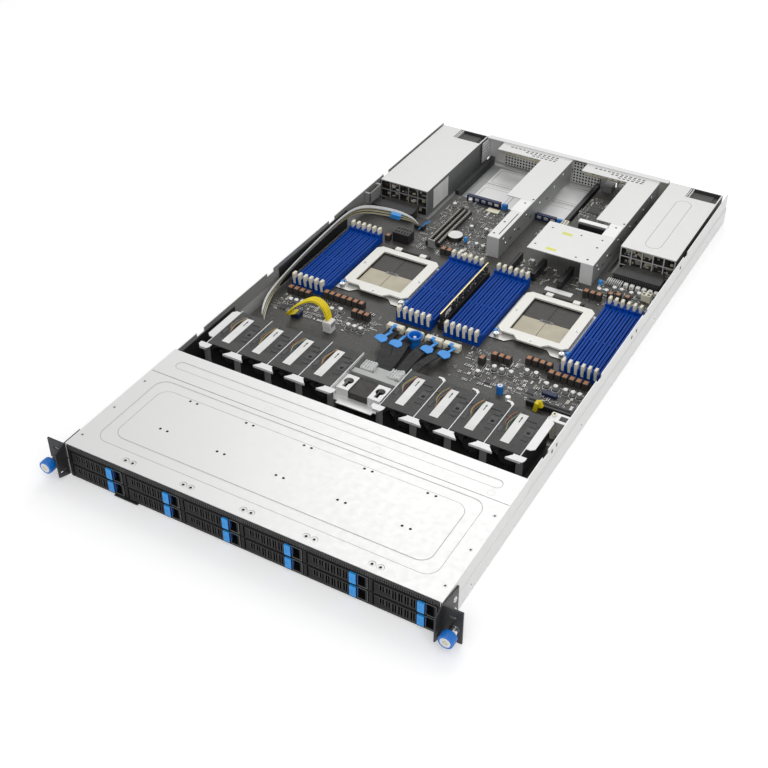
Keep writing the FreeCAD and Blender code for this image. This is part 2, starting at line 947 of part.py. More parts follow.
def make_pull_out_tag():
    """Blank tag that slides out below the first bay."""
    front = behind(d.cage_front - d.tag_proud)
    bottom = d.sheet_gauge + d.tag_play
    return block(
        "pull_out_tag",
        span(d.tag_x, d.tag_width),
        (front, front + d.tag_length),
        (bottom, bottom + d.tag_gauge),
    )


FAN_COUNT = 8
FANS_PER_GROUP = 4


def divider_middles():
    """The X of each fan divider, five to a group."""
    middles = []
    for side in (-1, 1):
        for i in range(FANS_PER_GROUP + 1):
            middles.append(d.fan_group_x * side + d.fan_pitch * (i - FANS_PER_GROUP / 2))
    return middles


def fan_middle(index):
    side = -1 if index < FANS_PER_GROUP else 1
    return d.fan_group_x * side + d.fan_pitch * (index % FANS_PER_GROUP - (FANS_PER_GROUP - 1) / 2)


FAN_FLOOR = d.sheet_gauge + d.fan_tray_gauge
FAN_AXIS_Z = FAN_FLOOR + d.fan_size / 2


def make_fan_wall():
    """Sheet-metal fan wall: floor strip, dividers with front posts and hooked tabs, and end plates."""
    front = behind(d.divider_front)
    rear = behind(d.divider_front + d.divider_length)
    post_front = front - d.divider_gauge
    middles = divider_middles()
    pieces = [block(
        "fan_strip",
        (middles[0] - d.end_plate_width, middles[-1] + d.end_plate_width),
        (post_front, rear),
        (d.sheet_gauge, FAN_FLOOR),
    )]
    for x in middles:
        pieces.append(block(
            "fan_divider",
            span(x, d.divider_gauge),
            (front, rear),
            (FAN_FLOOR, d.divider_top),
        ))
        pieces.append(block(
            "fan_post",
            span(x, d.post_width),
            (post_front, front),
            (FAN_FLOOR, d.divider_top),
        ))
        pieces += make_fan_tab(x, post_front)
    for x in (middles[0], middles[-1]):
        outward = -1 if x.number < 0 else 1
        edge = x - d.divider_gauge / 2 * outward
        pieces.append(make_end_plate(edge, outward))
    return fuse("fan_wall", pieces)


def make_fan_tab(x, post_front):
    """Tab bent forwards from the top of a post, drawn in to one side and hooked down at its edge."""
    body = new_body("fan_tab")
    half, reach, slant = d.tab_width / 2, d.tab_reach, d.tab_slant
    outline = [
        (half, d.divider_gauge),
        (-half, d.divider_gauge),
        (-half, slant - reach),
        (slant - half, -reach),
        (half - slant / 2, -reach),
        (half, slant - reach),
    ]
    pad(body, "XY_Plane", [outline], d.divider_gauge)
    place(body, x, post_front, d.divider_top - d.divider_gauge)
    hook = block(
        "fan_tab_hook",
        (x - half + slant, x + half - slant / 2),
        (post_front - reach, post_front - reach + d.divider_gauge),
        (d.divider_top - d.tab_hook, d.divider_top),
    )
    return [body, hook]


def make_end_plate(edge, outward):
    """Bevelled plate bent outwards from the top of an end divider."""
    body = new_body("fan_end_plate")
    width, length = d.end_plate_width * outward, d.end_plate_length
    bevel = d.end_plate_width * 0.4
    outline = [
        (0, 0),
        (width - bevel * outward, 0),
        (width, bevel),
        (width, length - bevel),
        (width - bevel * outward, length),
        (0, length),
    ]
    pad(body, "XY_Plane", [outline], d.divider_gauge)
    place(body, edge, behind(d.end_plate_front), d.divider_top - d.divider_gauge)
    return body


def make_fan_housings():
    """Eight fan housings: a duct between raised mounts, and a spider that carries the rotor's bearing."""
    half = d.fan_size / 2
    front, rear = behind(d.fan_front), behind(d.fan_front + d.fan_length)
    shell = block("fan_shell", (-half, half), (front, rear), (-half, half))
    duct = prism(
        "fan_duct",
        DUCT_SIDES,
        over_flats(d.fan_bore_radius, DUCT_SIDES),
        (0, front - half, 0),
        d.fan_length + d.fan_size,
        "y",
    )
    saddle = block(
        "fan_saddle",
        (-d.fan_size, d.fan_size),
        (front + d.fan_mount_length, rear - d.fan_mount_length),
        (half - d.fan_saddle_depth, d.fan_size),
    )
    spider_front = rear - d.fan_spider_depth
    arm = d.fan_arm_width
    level = block("fan_arm_level", (-half, half), (spider_front, rear), (-arm / 2, arm / 2))
    boss = d.fan_hub_radius / 2
    hub = block("fan_boss", (-boss, boss), (spider_front, rear), (-boss, boss))
    bearing = prism(
        "fan_bearing",
        BORE_SIDES,
        over_flats(d.rotor_shaft_radius + d.rotor_clearance, BORE_SIDES),
        (0, spider_front - d.fan_spider_depth, 0),
        d.fan_spider_depth * 3,
        "y",
    )
    ducted = cut("fan_ducted", shell, [duct, saddle])
    housing = cut("fan_housing", fuse("fan_joined", [ducted, level, hub]), [bearing])
    DOC.recompute()
    return repeated(
        "fan_housings",
        housing,
        [(fan_middle(i), 0, FAN_AXIS_Z) for i in range(FAN_COUNT)],
    )


def blade_section(radius, chord, middle_y):
    """The cross-section of a blade at one radius, turned to its pitch about the radial line."""
    half_gauge = d.blade_gauge.number / 2
    pitch = math.radians(d.blade_pitch.number)
    corners = []
    for along, across in ((-1, -1), (1, -1), (1, 1), (-1, 1)):
        run, gauge = along * chord / 2, across * half_gauge
        x = run * math.sin(pitch) + gauge * math.cos(pitch)
        y = run * math.cos(pitch) - gauge * math.sin(pitch)
        corners.append(FreeCAD.Vector(x, middle_y + y, radius))
    return corners


def flat_sided_solid(sections):
    """A solid with flat faces through a row of sections, each a list of as many corners."""
    count = len(sections[0])
    faces = [sections[0], sections[-1]]
    for near, far in zip(sections, sections[1:]):
        for i in range(count):
            j = (i + 1) % count
            faces.append([near[i], near[j], far[j], far[i]])
    shell = Part.Shell([Part.Face(Part.makePolygon(face + face[:1])) for face in faces])
    solid = Part.Solid(shell)
    if solid.Volume < 0:
        solid.reverse()
    return solid


def make_rotor_master():
    """Fan rotor: hub with pitched, tapered blades, on a shaft that runs in the spider."""
    front = behind(d.fan_front + d.rotor_front)
    rear = front + d.rotor_length
    hub = prism("rotor_hub", HUB_SIDES, d.fan_hub_radius, (0, front, 0), d.rotor_length, "y")
    shaft_end = behind(d.fan_front + d.fan_length)
    shaft = prism("rotor_shaft", PIN_SIDES, d.rotor_shaft_radius, (0, rear, 0), shaft_end - rear, "y")
    middle = ((front + rear) / 2).number
    reach = (d.fan_bore_radius - d.rotor_tip_gap).number
    tip_chord = d.blade_chord.number * d.blade_taper.number
    overhang = tip_chord / 2 * math.sin(math.radians(d.blade_pitch.number)) + d.blade_gauge.number
    sections = [
        blade_section(d.fan_hub_radius.number * 0.7, d.blade_chord.number, middle),
        blade_section(math.sqrt(reach ** 2 - overhang ** 2), tip_chord, middle),
    ]
    blade = flat_sided_solid(sections)
    blades = []
    count = int(d.blade_count.number)
    for i in range(count):
        turned = blade.copy()
        turned.rotate(FreeCAD.Vector(), FreeCAD.Vector(0, 1, 0), 360 / count * i)
        feature = DOC.addObject("Part::Feature", "rotor_blade")
        feature.Shape = turned
        blades.append(feature)
    return fuse("rotor_master", [hub, shaft] + blades)


def make_fan_rotors():
    master = make_rotor_master()
    rotors = []
    for i in range(FAN_COUNT):
        rotors.append(placed_copy("fan_rotor_%d" % (i + 1), master, fan_middle(i), 0, FAN_AXIS_Z))
    return rotors


def make_keyhole_clip(name, x):
    """Raised clip with a keyhole, on two legs."""
    y = (behind(d.keyhole_front), behind(d.keyhole_front + d.keyhole_length))
    wide = span(x, d.keyhole_width)
    gauge = d.sheet_gauge
    plate = block(name + "_plate", wide, y, (d.keyhole_top - gauge, d.keyhole_top))
    front_leg = block(name + "_leg", wide, (y[0], y[0] + gauge), (d.bracket_floor, d.keyhole_top))
    rear_leg = block(name + "_leg", wide, (y[1] - gauge, y[1]), (d.bracket_floor, d.keyhole_top))
    middle = behind(d.keyhole_front + d.keyhole_length * 0.6)
    through = (d.keyhole_top - gauge * 2, d.keyhole_top + gauge)
    hole = prism(name + "_hole", GRIP_SIDES, d.keyhole_radius, (x, middle, through[0]), gauge * 3, "z")
    neck = block(name + "_neck", span(x, d.keyhole_neck), (middle - d.keyhole_radius * 2, middle), through)
    bent = fuse(name + "_bent", [plate, front_leg, rear_leg])
    return cut(name, bent, [fuse(name + "_cut", [hole, neck])])


def make_centre_bracket():
    """Cable bracket between the fan groups: tray, cross bar, two keyhole clips and a moulded guide."""
    half = d.fan_group_x - d.fan_pitch * (FANS_PER_GROUP / 2) - d.divider_gauge / 2
    gauge = d.sheet_gauge
    floor = block(
        "bracket_tray",
        (-half, half),
        (behind(d.divider_front), behind(d.bracket_rear)),
        (d.bracket_floor, d.bracket_floor + gauge),
    )
    lip_half = half - d.post_width
    lip = block(
        "bracket_lip",
        (-lip_half, lip_half),
        (behind(d.bracket_front), behind(d.divider_front)),
        (d.bracket_floor, d.bracket_floor + gauge),
    )
    bar = block(
        "bracket_cross_bar",
        (-half, half),
        (behind(d.bracket_bar), behind(d.bracket_bar) + gauge),
        (d.bracket_floor, d.bracket_bar_top),
    )
    clips = [
        make_keyhole_clip("keyhole_clip_left", d.keyhole_left),
        make_keyhole_clip("keyhole_clip_right", d.keyhole_right),
    ]
    edge = d.keyhole_width / 2 + d.guide_gap
    guide_bottom = d.bracket_floor + gauge
    guide = block(
        "cable_guide",
        (d.keyhole_left + edge, d.keyhole_right - edge),
        (behind(d.keyhole_front), behind(d.keyhole_front + d.keyhole_length)),
        (guide_bottom, guide_bottom + d.guide_height),
    )
    return group("centre_bracket", [fuse("bracket_folded", [floor, lip, bar] + clips), guide])


def make_motherboard():
    """Main circuit board, stepped round the power supplies, with a tail to the rear ports."""
    body = new_body("motherboard")
    left, right = -BOARD_HALF, BOARD_HALF
    outline = [
        (left, behind(d.board_front)),
        (right, behind(d.board_front)),
        (right, behind(BOARD_SHOULDER)),
        (d.board_neck_right, behind(BOARD_SHOULDER)),
        (d.board_neck_right, behind(BOARD_TAIL)),
        (d.board_tail_left, behind(BOARD_TAIL)),
        (d.board_tail_left, behind(BOARD_REAR)),
        (d.board_neck_left, behind(BOARD_REAR)),
        (d.board_neck_left, behind(BOARD_SHOULDER)),
        (left, behind(BOARD_SHOULDER)),
    ]
    pad(body, "XY_Plane", [outline], d.board_gauge)
    place(body, 0, 0, BOARD_UNDERSIDE)
    return body


SOCKET_TOP = BOARD_TOP + d.socket_height
FRAME_BOTTOM = SOCKET_TOP + d.frame_gap
HINGE_Z = FRAME_BOTTOM + d.frame_gauge / 2
# The frame's rear edge passes the square corners of the hinge ears with a gap as it lifts.
HINGE_OFFSET = d.hinge_barrel * math.sqrt(2) + d.frame_gap
HINGE_Y = behind(SOCKET_Y + d.frame_length / 2 + HINGE_OFFSET)
# The plate under a socket fills the space between the memory banks on its two sides.
BANK_HALF = (d.slot_spacing * (d.bank_slots - 1) + d.memory_width) / 2
BASE_PLATE_HALF = d.bank_offset - BANK_HALF - d.base_plate_gap


def make_socket(name, x):
    """Processor socket: sunk contact field, notched base plate with posts, and hinge lugs with their pin."""
    middle = behind(SOCKET_Y)
    base = block(
        name + "_base",
        span(x, d.socket_width),
        span(middle, d.socket_length),
        (BOARD_TOP, SOCKET_TOP),
    )
    field = block(
        name + "_field",
        span(x, d.field_width),
        span(middle, d.field_length),
        (SOCKET_TOP - d.field_depth, SOCKET_TOP + d.field_depth),
    )
    lug_x = d.barrel_x + d.barrel_length / 2 + d.hinge_lug / 2 + d.frame_gap
    pieces = [cut(name + "_sunk", base, [field]), make_base_plate(name, x)]
    for side in (-1, 1):
        pieces.append(prism(
            name + "_post",
            PIN_SIDES,
            d.base_post_radius,
            (
                x + (BASE_PLATE_HALF - d.base_post_inset) * side,
                middle - d.base_plate_front + d.base_post_inset / 2,
                BOARD_TOP,
            ),
            d.base_post_height,
            "z",
        ))
        pieces.append(block(
            name + "_lug",
            span(x + lug_x * side, d.hinge_lug),
            (middle + d.socket_length / 2 - d.hinge_lug, HINGE_Y + d.hinge_barrel),
            (BOARD_TOP, SOCKET_TOP),
        ))
        pieces.append(block(
            name + "_ear",
            span(x + lug_x * side, d.hinge_lug),
            (HINGE_Y - d.hinge_barrel, HINGE_Y + d.hinge_barrel),
            (SOCKET_TOP, HINGE_Z + d.hinge_barrel),
        ))
    pin_half = lug_x + d.hinge_lug / 4
    pin_start = (x - pin_half, HINGE_Y, HINGE_Z)
    pieces.append(prism(name + "_pin", PIN_SIDES, d.hinge_radius, pin_start, pin_half * 2, "x"))
    return fuse(name, pieces)


def make_base_plate(name, x):
    """Steel plate under a socket, with a notch in its front edge."""
    body = new_body(name + "_plate")
    half, front, rear = BASE_PLATE_HALF, -d.base_plate_front, d.socket_length / 2
    notch_half, notch = d.frame_tab_width / 2, d.base_plate_notch
    outline = [
        (-half, front),
        (-notch_half - notch, front),
        (-notch_half, front + notch),
        (notch_half, front + notch),
        (notch_half + notch, front),
        (half, front),
        (half, rear),
        (-half, rear),
    ]
    pad(body, "XY_Plane", [outline], d.base_plate_gauge)
    place(body, x, behind(SOCKET_Y), BOARD_TOP)
    return body


def make_socket_frame(name, x):
    """Hinged load frame over a processor socket: a tab at the front, two knuckles on the hinge pin."""
    middle = behind(SOCKET_Y)
    half_x, half_y = d.frame_width / 2, d.frame_length / 2
    bevel = d.frame_corner
    outline = []
    for side_x, side_y in ((1, -1), (1, 1), (-1, 1), (-1, -1)):
        across = ((half_x - bevel) * side_x, half_y * side_y)
        along = (half_x * side_x, (half_y - bevel) * side_y)
        outline += [across, along] if side_x == -side_y else [along, across]
    tab_half, tab_end = d.frame_tab_width / 2, half_y + d.frame_tab_reach
    tip_half = tab_half - d.frame_tab_reach
    outline += [(-tab_half, -half_y), (-tip_half, -tab_end), (tip_half, -tab_end), (tab_half, -half_y)]
    field = rectangle(span(0, d.field_width), span(0, d.field_length))
    plate = new_body(name + "_plate")
    pad(plate, "XY_Plane", [outline, field], d.frame_gauge)
    place(plate, x, middle, FRAME_BOTTOM)
    top = FRAME_BOTTOM + d.frame_gauge
    pieces, bores = [plate], []
    for side in (-1, 1):
        start = x + d.barrel_x * side - d.barrel_length / 2
        pieces.append(block(
            name + "_knuckle",
            (start, start + d.barrel_length),
            (middle + half_y, HINGE_Y + d.hinge_barrel),
            (FRAME_BOTTOM - d.hinge_radius, top + d.hinge_radius),
        ))
        bores.append(prism(
            name + "_bore",
            BORE_SIDES,
            over_flats(d.hinge_radius + d.hinge_clearance, BORE_SIDES),
            (start - d.frame_gauge, HINGE_Y, HINGE_Z),
            d.barrel_length + d.frame_gauge * 2,
            "x",
        ))
    return cut(name, fuse(name + "_joined", pieces), bores)


def memory_spots():
    """The X of every memory socket, bank by bank."""
    spots = []
    for socket_x in (d.socket_left_x, d.socket_right_x):
        for side in (-1, 1):
            for i in range(int(d.bank_slots.number)):
                middle = socket_x + d.bank_offset * side
                spots.append(middle + d.slot_spacing * (i - (d.bank_slots.number - 1) / 2))
    return spots


LATCH_FLOOR = BOARD_TOP + d.latch_pocket
LATCH_PIVOT_Z = LATCH_FLOOR + d.latch_depth


def make_memory_sockets():
    """Memory sockets with a card groove and a latch pocket in each end tower."""
    middle = behind(MEMORY_Y)
    body_half = d.memory_length / 2
    half = d.memory_width / 2
    wide = (-half, half)
    rail = board_block("memory_rail", wide, span(middle, d.memory_length), d.memory_height)
    groove = block(
        "memory_groove_tool",
        (-d.memory_groove / 2, d.memory_groove / 2),
        span(middle, d.memory_length - d.memory_width),
        (BOARD_TOP + d.memory_height - d.memory_groove_depth, BOARD_TOP + d.memory_height * 2),
    )
    pieces, pockets = [rail], [groove]
    pocket_half = d.latch_width / 2 + d.latch_play
    for side in (-1, 1):
        inner = middle + body_half * side
        outer = inner + d.tower_length * side
        ends = (outer, inner) if side < 0 else (inner, outer)
        pieces.append(block("memory_tower", wide, ends, (BOARD_TOP, BOARD_TOP + d.tower_height)))
        wall = inner + d.memory_groove * side
        beyond = outer + d.memory_groove * side
        pocket = (beyond, wall) if side < 0 else (wall, beyond)
        pockets.append(block(
            "memory_pocket",
            (-pocket_half, pocket_half),
            pocket,
            (LATCH_FLOOR, BOARD_TOP + d.tower_height * 2),
        ))
    socket = cut("memory_socket", fuse("memory_joined", pieces), pockets)
    DOC.recompute()
    return repeated("memory_sockets", socket, [(x, 0, 0) for x in memory_spots()])


def make_memory_latches(name, side):
    """The row of card latches at one end of the memory sockets, with thumb tips that lean out."""
    body = new_body(name + "_master")
    depth = d.latch_depth
    inner = d.memory_length / 2 + d.memory_groove + depth
    low = LATCH_PIVOT_Z - depth / 2
    top = LATCH_FLOOR + d.latch_height
    outline = [
        (inner, low),
        (inner + depth, low),
        (inner + depth + d.latch_thumb, top - depth),
        (inner + depth + d.latch_thumb, top),
        (inner - depth / 2, top),
        (inner - depth / 2, top - depth),
    ]
    turned = [(a * side + behind(MEMORY_Y), b) for a, b in outline]
    pad(body, "YZ_Plane", [turned], d.latch_width)
    place(body, -d.latch_width / 2, 0, 0)
    DOC.recompute()
    return repeated(name, body, [(x, 0, 0) for x in memory_spots()])


SUPPLY_BOTTOM = d.sheet_gauge + d.supply_lift
SUPPLY_CARD_Z = BOARD_TOP + d.supply_plug_height / 2


def make_supply_master():
    """Power supply module: grille at its inner end, fan recess, mains inlet, handle and latch lugs."""
    half = d.supply_width / 2
    low, high = SUPPLY_BOTTOM, SUPPLY_BOTTOM + d.supply_height
    front = behind(SUPPLY_FRONT)
    rear = front + d.supply_length
    case = block("supply_case", (-half, half), (front, rear), (low, high))
    tools = []
    rows, columns = int(d.supply_grille_rows.number), int(d.supply_grille_columns.number)
    cell_x = (d.supply_width - d.grille_bar) / columns
    cell_z = (d.supply_height - d.grille_bar) / rows
    for row in range(rows):
        for column in range(columns):
            x = d.grille_bar - half + cell_x * column
            z = low + d.grille_bar + cell_z * row
            tools.append(block(
                "supply_cell",
                (x, x + cell_x - d.grille_bar),
                (front - d.grille_depth, front + d.grille_depth),
                (z, z + cell_z - d.grille_bar),
            ))
    tools.append(block(
        "supply_fan_recess",
        (half - d.grille_bar - d.fan_recess_width, half - d.grille_bar),
        (rear - d.fan_recess_length, rear + d.grille_bar),
        (high - d.fan_recess_depth, high + d.fan_recess_depth),
    ))
    inlet_z = low + d.grille_bar
    inlet_x = half - d.grille_bar - d.inlet_width
    tools.append(block(
        "supply_inlet",
        (inlet_x, inlet_x + d.inlet_width),
        (rear - d.inlet_depth, rear + d.inlet_depth),
        (inlet_z, inlet_z + d.inlet_height),
    ))
    bar = d.handle_bar
    handle_x = span(-d.handle_x, bar)
    reach = rear + d.handle_reach
    card_z = span(SUPPLY_CARD_Z, d.supply_card_gauge)
    card_end = behind(BOARD_SHOULDER) - d.supply_card_entry
    pieces = [
        cut("supply_hollowed", case, tools),
        block("supply_card", span(0, d.supply_card_width), (card_end, front + d.grille_depth), card_z),
        block("handle_lower", handle_x, (rear, reach), (d.handle_low, d.handle_low + bar)),
        block("handle_upper", handle_x, (rear, reach), (d.handle_high - bar, d.handle_high)),
        block("handle_grip", handle_x, (reach - bar, reach), (d.handle_low, d.handle_high)),
    ]
    lug = d.release_gauge
    bores = []
    for z in release_lugs():
        pieces.append(block(
            "release_lug",
            span(-d.release_x, lug * 2),
            (rear, rear + lug * 2),
            z,
        ))
    bores.append(prism(
        "release_bore",
        BORE_SIDES,
        over_flats(d.lever_pin_radius + d.pin_clearance, BORE_SIDES),
        (-d.release_x, rear + lug, d.handle_low - lug),
        d.handle_high - d.handle_low + lug * 2,
        "z",
    ))
    return cut("supply_master", fuse("supply_joined", pieces), bores)


def release_lugs():
    """The heights of the two lugs that carry the release lever's pin."""
    lug = d.release_gauge
    return ((d.handle_low, d.handle_low + lug), (d.handle_high - lug, d.handle_high))


def make_release_master():
    """Release lever of a power supply, on an upright pin between its lugs."""
    lug = d.release_gauge
    rear = behind(SUPPLY_FRONT) + d.supply_length
    lower, upper = release_lugs()
    low, high = lower[1] + d.supply_lift, upper[0] - d.supply_lift
    pivot = (-d.release_x, rear + lug, low)
    barrel = prism("release_barrel", PIN_SIDES, lug * 0.9, pivot, high - low, "z")
    pin_low, pin_high = lower[0] + d.supply_lift, upper[1] - d.supply_lift
    pin_start = (pivot[0], pivot[1], pin_low)
    pin = prism("release_pin", PIN_SIDES, d.lever_pin_radius, pin_start, pin_high - pin_low, "z")
    thumb = block(
        "release_thumb",
        span(-d.release_x, lug),
        (rear + lug, rear + lug + d.release_reach),
        (low, high),
    )
    return fuse("release_master", [barrel, pin, thumb])


def make_power_supplies():
    supply, release = make_supply_master(), make_release_master()
    nodes = []
    for side, x in (("left", SUPPLY_LEFT_X), ("right", SUPPLY_RIGHT_X)):
        nodes.append(placed_copy("power_supply_" + side, supply, x, 0, 0))
        nodes.append(placed_copy("supply_release_" + side, release, x, 0, 0))
    return nodes


def make_riser(name, wall, shelf_width):
    """Riser cage: side wall with foot, top flange, wide top plate, slotted bracket, bar and card."""
    gauge = d.sheet_gauge
    low, top = BOARD_TOP, d.riser_top
    front, rear = behind(RISER_FRONT), behind(RISER_REAR)
    plate = (top - gauge, top)
    left_end = wall - d.riser_span
    pieces = [
        block(name + "_wall", (wall - gauge, wall), (front, rear), (low, top)),
        block(name + "_foot", (wall - d.riser_foot, wall), (front, front + gauge), (low, top)),
        block(name + "_flange", (wall - shelf_width, wall), (front, front + d.riser_flange_length), plate),
        block(
            name + "_plate",
            (wall - d.riser_plate_width, wall),
            (behind(DECK_FRONT - d.riser_plate_length), behind(DECK_FRONT)),
            plate,
        ),
        block(name + "_deck", (left_end, wall), (behind(DECK_FRONT), rear), plate),
        block(name + "_bracket", (left_end, wall), (rear - gauge, rear), (d.riser_bracket_bottom, top)),
    ]
    bar = block(
        name + "_bar",
        (left_end, wall),
        (rear - gauge, REAR - gauge),
        (top, top + d.riser_bar_height),
    )
    holes = []
    step = d.panel_hole_pitch
    for column in range(int(d.riser_slot_count.number)):
        x = left_end + step * (column + 1)
        holes.append(block(
            name + "_hole",
            (x, x + d.panel_hole),
            (rear - gauge * 2, rear + gauge),
            (d.riser_bracket_bottom + d.panel_hole / 2, top - d.panel_hole),
        ))
    cage = cut(name + "_cage", fuse(name + "_folded", pieces + [bar]), holes)
    card_x = wall - gauge - d.riser_card_gap
    card_front = front + d.riser_foot
    card = block(
        name + "_card",
        (card_x - d.riser_card_gauge, card_x),
        (card_front, card_front + d.riser_card_length),
        (BOARD_TOP + d.slot_body_height, top - gauge),
    )
    return group(name, [cage, card])


def make_rear_panel():
    """Rear panel between the power supplies: vents, riser windows, port openings and a folded top."""
    gauge = d.sheet_gauge
    y = (REAR - gauge, REAR)
    through = (REAR - gauge * 2, REAR + gauge)
    half_supply = d.supply_width / 2
    x = (SUPPLY_LEFT_X + half_supply + d.panel_left_gap, SUPPLY_RIGHT_X - half_supply - d.panel_right_gap)
    upright = block("panel_sheet", x, y, (gauge, d.panel_top))
    flange = block("panel_flange", x, (REAR - d.panel_flange, REAR), (d.panel_top, d.panel_top + gauge))
    sheet = fuse("panel_folded", [upright, flange])
    tools = []
    for wall in (d.riser_left_wall, d.riser_right_wall):
        tools.append(block(
            "panel_window",
            (wall - d.riser_span + d.riser_foot / 2, wall - d.riser_foot / 2),
            through,
            (d.riser_bracket_bottom, d.riser_top - gauge * 2),
        ))
    for middle in (d.floor_pad_left, d.floor_pad_right):
        for column in range(int(d.panel_hole_columns.number)):
            offset = d.panel_hole_pitch * (column - (d.panel_hole_columns.number - 1) / 2)
            z = (d.panel_hole_bottom, d.panel_hole_bottom + d.panel_hole_height)
            tools.append(block("panel_vent", span(middle + offset, d.panel_hole), through, z))
    for middle in port_middles():
        tools.append(block(
            "panel_port",
            span(middle, d.port_width),
            through,
            (d.port_bottom, d.port_bottom + d.port_height),
        ))
    return cut("rear_panel", sheet, tools)


def port_middles():
    """The X of each rear port, spread along the board's tail."""
    middle = (d.board_tail_left + d.riser_right_wall - d.sheet_gauge) / 2
    count = d.port_count.number
    return [middle + d.port_pitch * (i - (count - 1) / 2) for i in range(int(count))]


def board_block(name, x, y, height):
    """A part that stands on the motherboard."""
    return block(name, x, y, (BOARD_TOP, BOARD_TOP + height))


# Rows of chokes: first X, distance behind the middle of the sockets, and how many.
CHOKE_ROWS = (
    (-196.0, -93.0, 4),
    (-151.5, -81.0, 7),
    (-100.0, -99.0, 3),
    (76.0, -107.0, 1),
    (86.0, -93.0, 3),
    (124.0, -81.0, 4),
    (157.0, -93.0, 6),
    (128.0, 81.0, 3),
    (-72.0, 81.0, 2),
)


def make_board_parts():
    """Parts soldered to the board: chokes, card slots, plugs, battery, ports and rear rails."""
    parts = []
    for first, offset, count in CHOKE_ROWS:
        y = span(behind(SOCKET_Y + offset), d.choke_length)
        for i in range(int(count)):
            x = span(first + d.choke_pitch * i, d.choke_width)
            parts.append(board_block("choke", x, y, d.choke_height))
    for wall in (d.riser_left_wall, d.riser_right_wall):
        middle = wall - d.sheet_gauge - d.riser_card_gap - d.riser_card_gauge / 2
        front = behind(RISER_FRONT) + d.riser_foot
        y = (front, front + d.slot_body_length)
        parts.append(board_block("riser_slot", span(middle, d.slot_body_width), y, d.slot_body_height))
    memory_front = behind(MEMORY_Y) - d.memory_length / 2
    card_y = (memory_front, memory_front + d.memory_length)
    gauge = d.centre_card_gauge
    slot_height = d.memory_height
    parts.append(board_block("card_slot", span(d.centre_card_x, d.memory_width), card_y, slot_height))
    parts.append(block(
        "centre_card",
        span(d.centre_card_x, gauge),
        card_y,
        (BOARD_TOP + slot_height, d.centre_card_top),
    ))
    for x in (SUPPLY_LEFT_X, SUPPLY_RIGHT_X):
        y = (behind(BOARD_SHOULDER) - d.supply_plug_depth, behind(BOARD_SHOULDER))
        plug = board_block("supply_plug", span(x, d.supply_plug_width), y, d.supply_plug_height)
        mouth = block(
            "supply_plug_mouth",
            span(x, d.supply_card_width + d.supply_card_play * 2),
            (y[1] - d.supply_card_entry - d.supply_card_play, y[1] + d.supply_card_play),
            span(SUPPLY_CARD_Z, d.supply_card_gauge + d.supply_card_play * 2),
        )
        parts.append(cut("supply_socket", plug, [mouth]))
    parts.append(prism(
        "battery",
        GRIP_SIDES,
        d.battery_radius,
        (d.floor_pad_left + d.battery_radius, behind(SOCKET_Y + d.battery_offset), BOARD_TOP),
        d.battery_height,
        "z",
    ))
    for x in data_plug_middles():
        y = span(behind(DATA_PLUG_Y), d.data_plug_depth)
        parts.append(board_block("data_plug", span(x, d.data_plug_width), y, d.data_plug_height))
    for x, offset, height in (POWER_LEAD[0], POWER_LEAD[-1]):
        middle = behind(SOCKET_Y + offset)
        wide = span(as_size(x), d.power_plug_width)
        parts.append(board_block("power_plug", wide, span(middle, d.power_plug_width), height - BOARD_TOP))
    tail = behind(BOARD_TAIL)
    for x in port_middles():
        wide = span(x, d.port_width - d.sheet_gauge)
        height = d.port_height - d.sheet_gauge
        parts.append(board_block("rear_port", wide, (tail - d.port_depth, tail), height))
    rail_y = (behind(BOARD_REAR) + d.rear_rail_width, REAR - d.sheet_gauge - d.rear_rail_width)
    for x in (d.board_neck_left, d.board_tail_left - d.rear_rail_width):
        rail_x = (x - d.rear_rail_width / 2, x + d.rear_rail_width / 2)
        rail_z = (d.sheet_gauge, d.sheet_gauge + d.rear_rail_height)
        parts.append(block("rear_rail", rail_x, rail_y, rail_z))
    return group("board_parts", parts)


def data_plug_middles():
    spacing = d.data_plug_width + d.data_plug_depth / 2
    return [spacing * (i - 1.5) - d.centre_card_x for i in range(3)]


# Turning points of the yellow power lead: X, distance behind the middle of the sockets, and height.
POWER_LEAD = (
    (-162.0, -134.0, 17.1),
    (-162.0, -134.0, 31.0),
    (-137.0, -129.0, 40.0),
    (-112.0, -140.0, 31.0),
    (-112.0, -140.0, 17.1),
)


def rounded_tube(points, radius):
    """A many-sided tube on straight runs joined by tangent arcs as large as the runs allow."""
    first_run = (points[1] - points[0]).normalize()
    ring = Part.Face(Part.makePolygon(ring_corners(points[0], first_run, radius)))
    pieces = []
    length = 0.0
    start = points[0]
    for before, corner, after in zip(points, points[1:], points[2:]):
        into, out = corner - before, after - corner
        reach = 0.45 * min(into.Length, out.Length)
        into.normalize()
        out.normalize()
        half_turn = into.getAngle(out) / 2
        bend = reach / math.tan(half_turn)
        enter = corner - into * reach
        axis = into.cross(out).normalize()
        centre = enter + axis.cross(into) * bend
        turn = math.degrees(half_turn * 2)
        pieces.append(ring.extrude(enter - start))
        ring = ring.translated(enter - start)
        pieces.append(ring.revolve(centre, axis, turn))
        ring = ring.rotated(centre, axis, turn)
        print("power lead bend radius %.1f mm" % bend)
        length += (enter - start).Length + bend * half_turn * 2
        start = corner + out * reach
    last_run = points[-1] - start
    pieces.append(ring.extrude(last_run))
    print("power lead length %.1f mm" % (length + last_run.Length))
    return pieces[0].multiFuse(pieces[1:]).removeSplitter()


def ring_corners(middle, along, radius):
    """A closed ring of corners about a point, square to a direction."""
    across = along.cross(FreeCAD.Vector(1, 0, 0)).normalize()
    over = along.cross(across)
    corners = []
    for i in range(LEAD_SIDES + 1):
        turn = 2 * math.pi * i / LEAD_SIDES
        corners.append(middle + across * (radius * math.cos(turn)) + over * (radius * math.sin(turn)))
    return corners


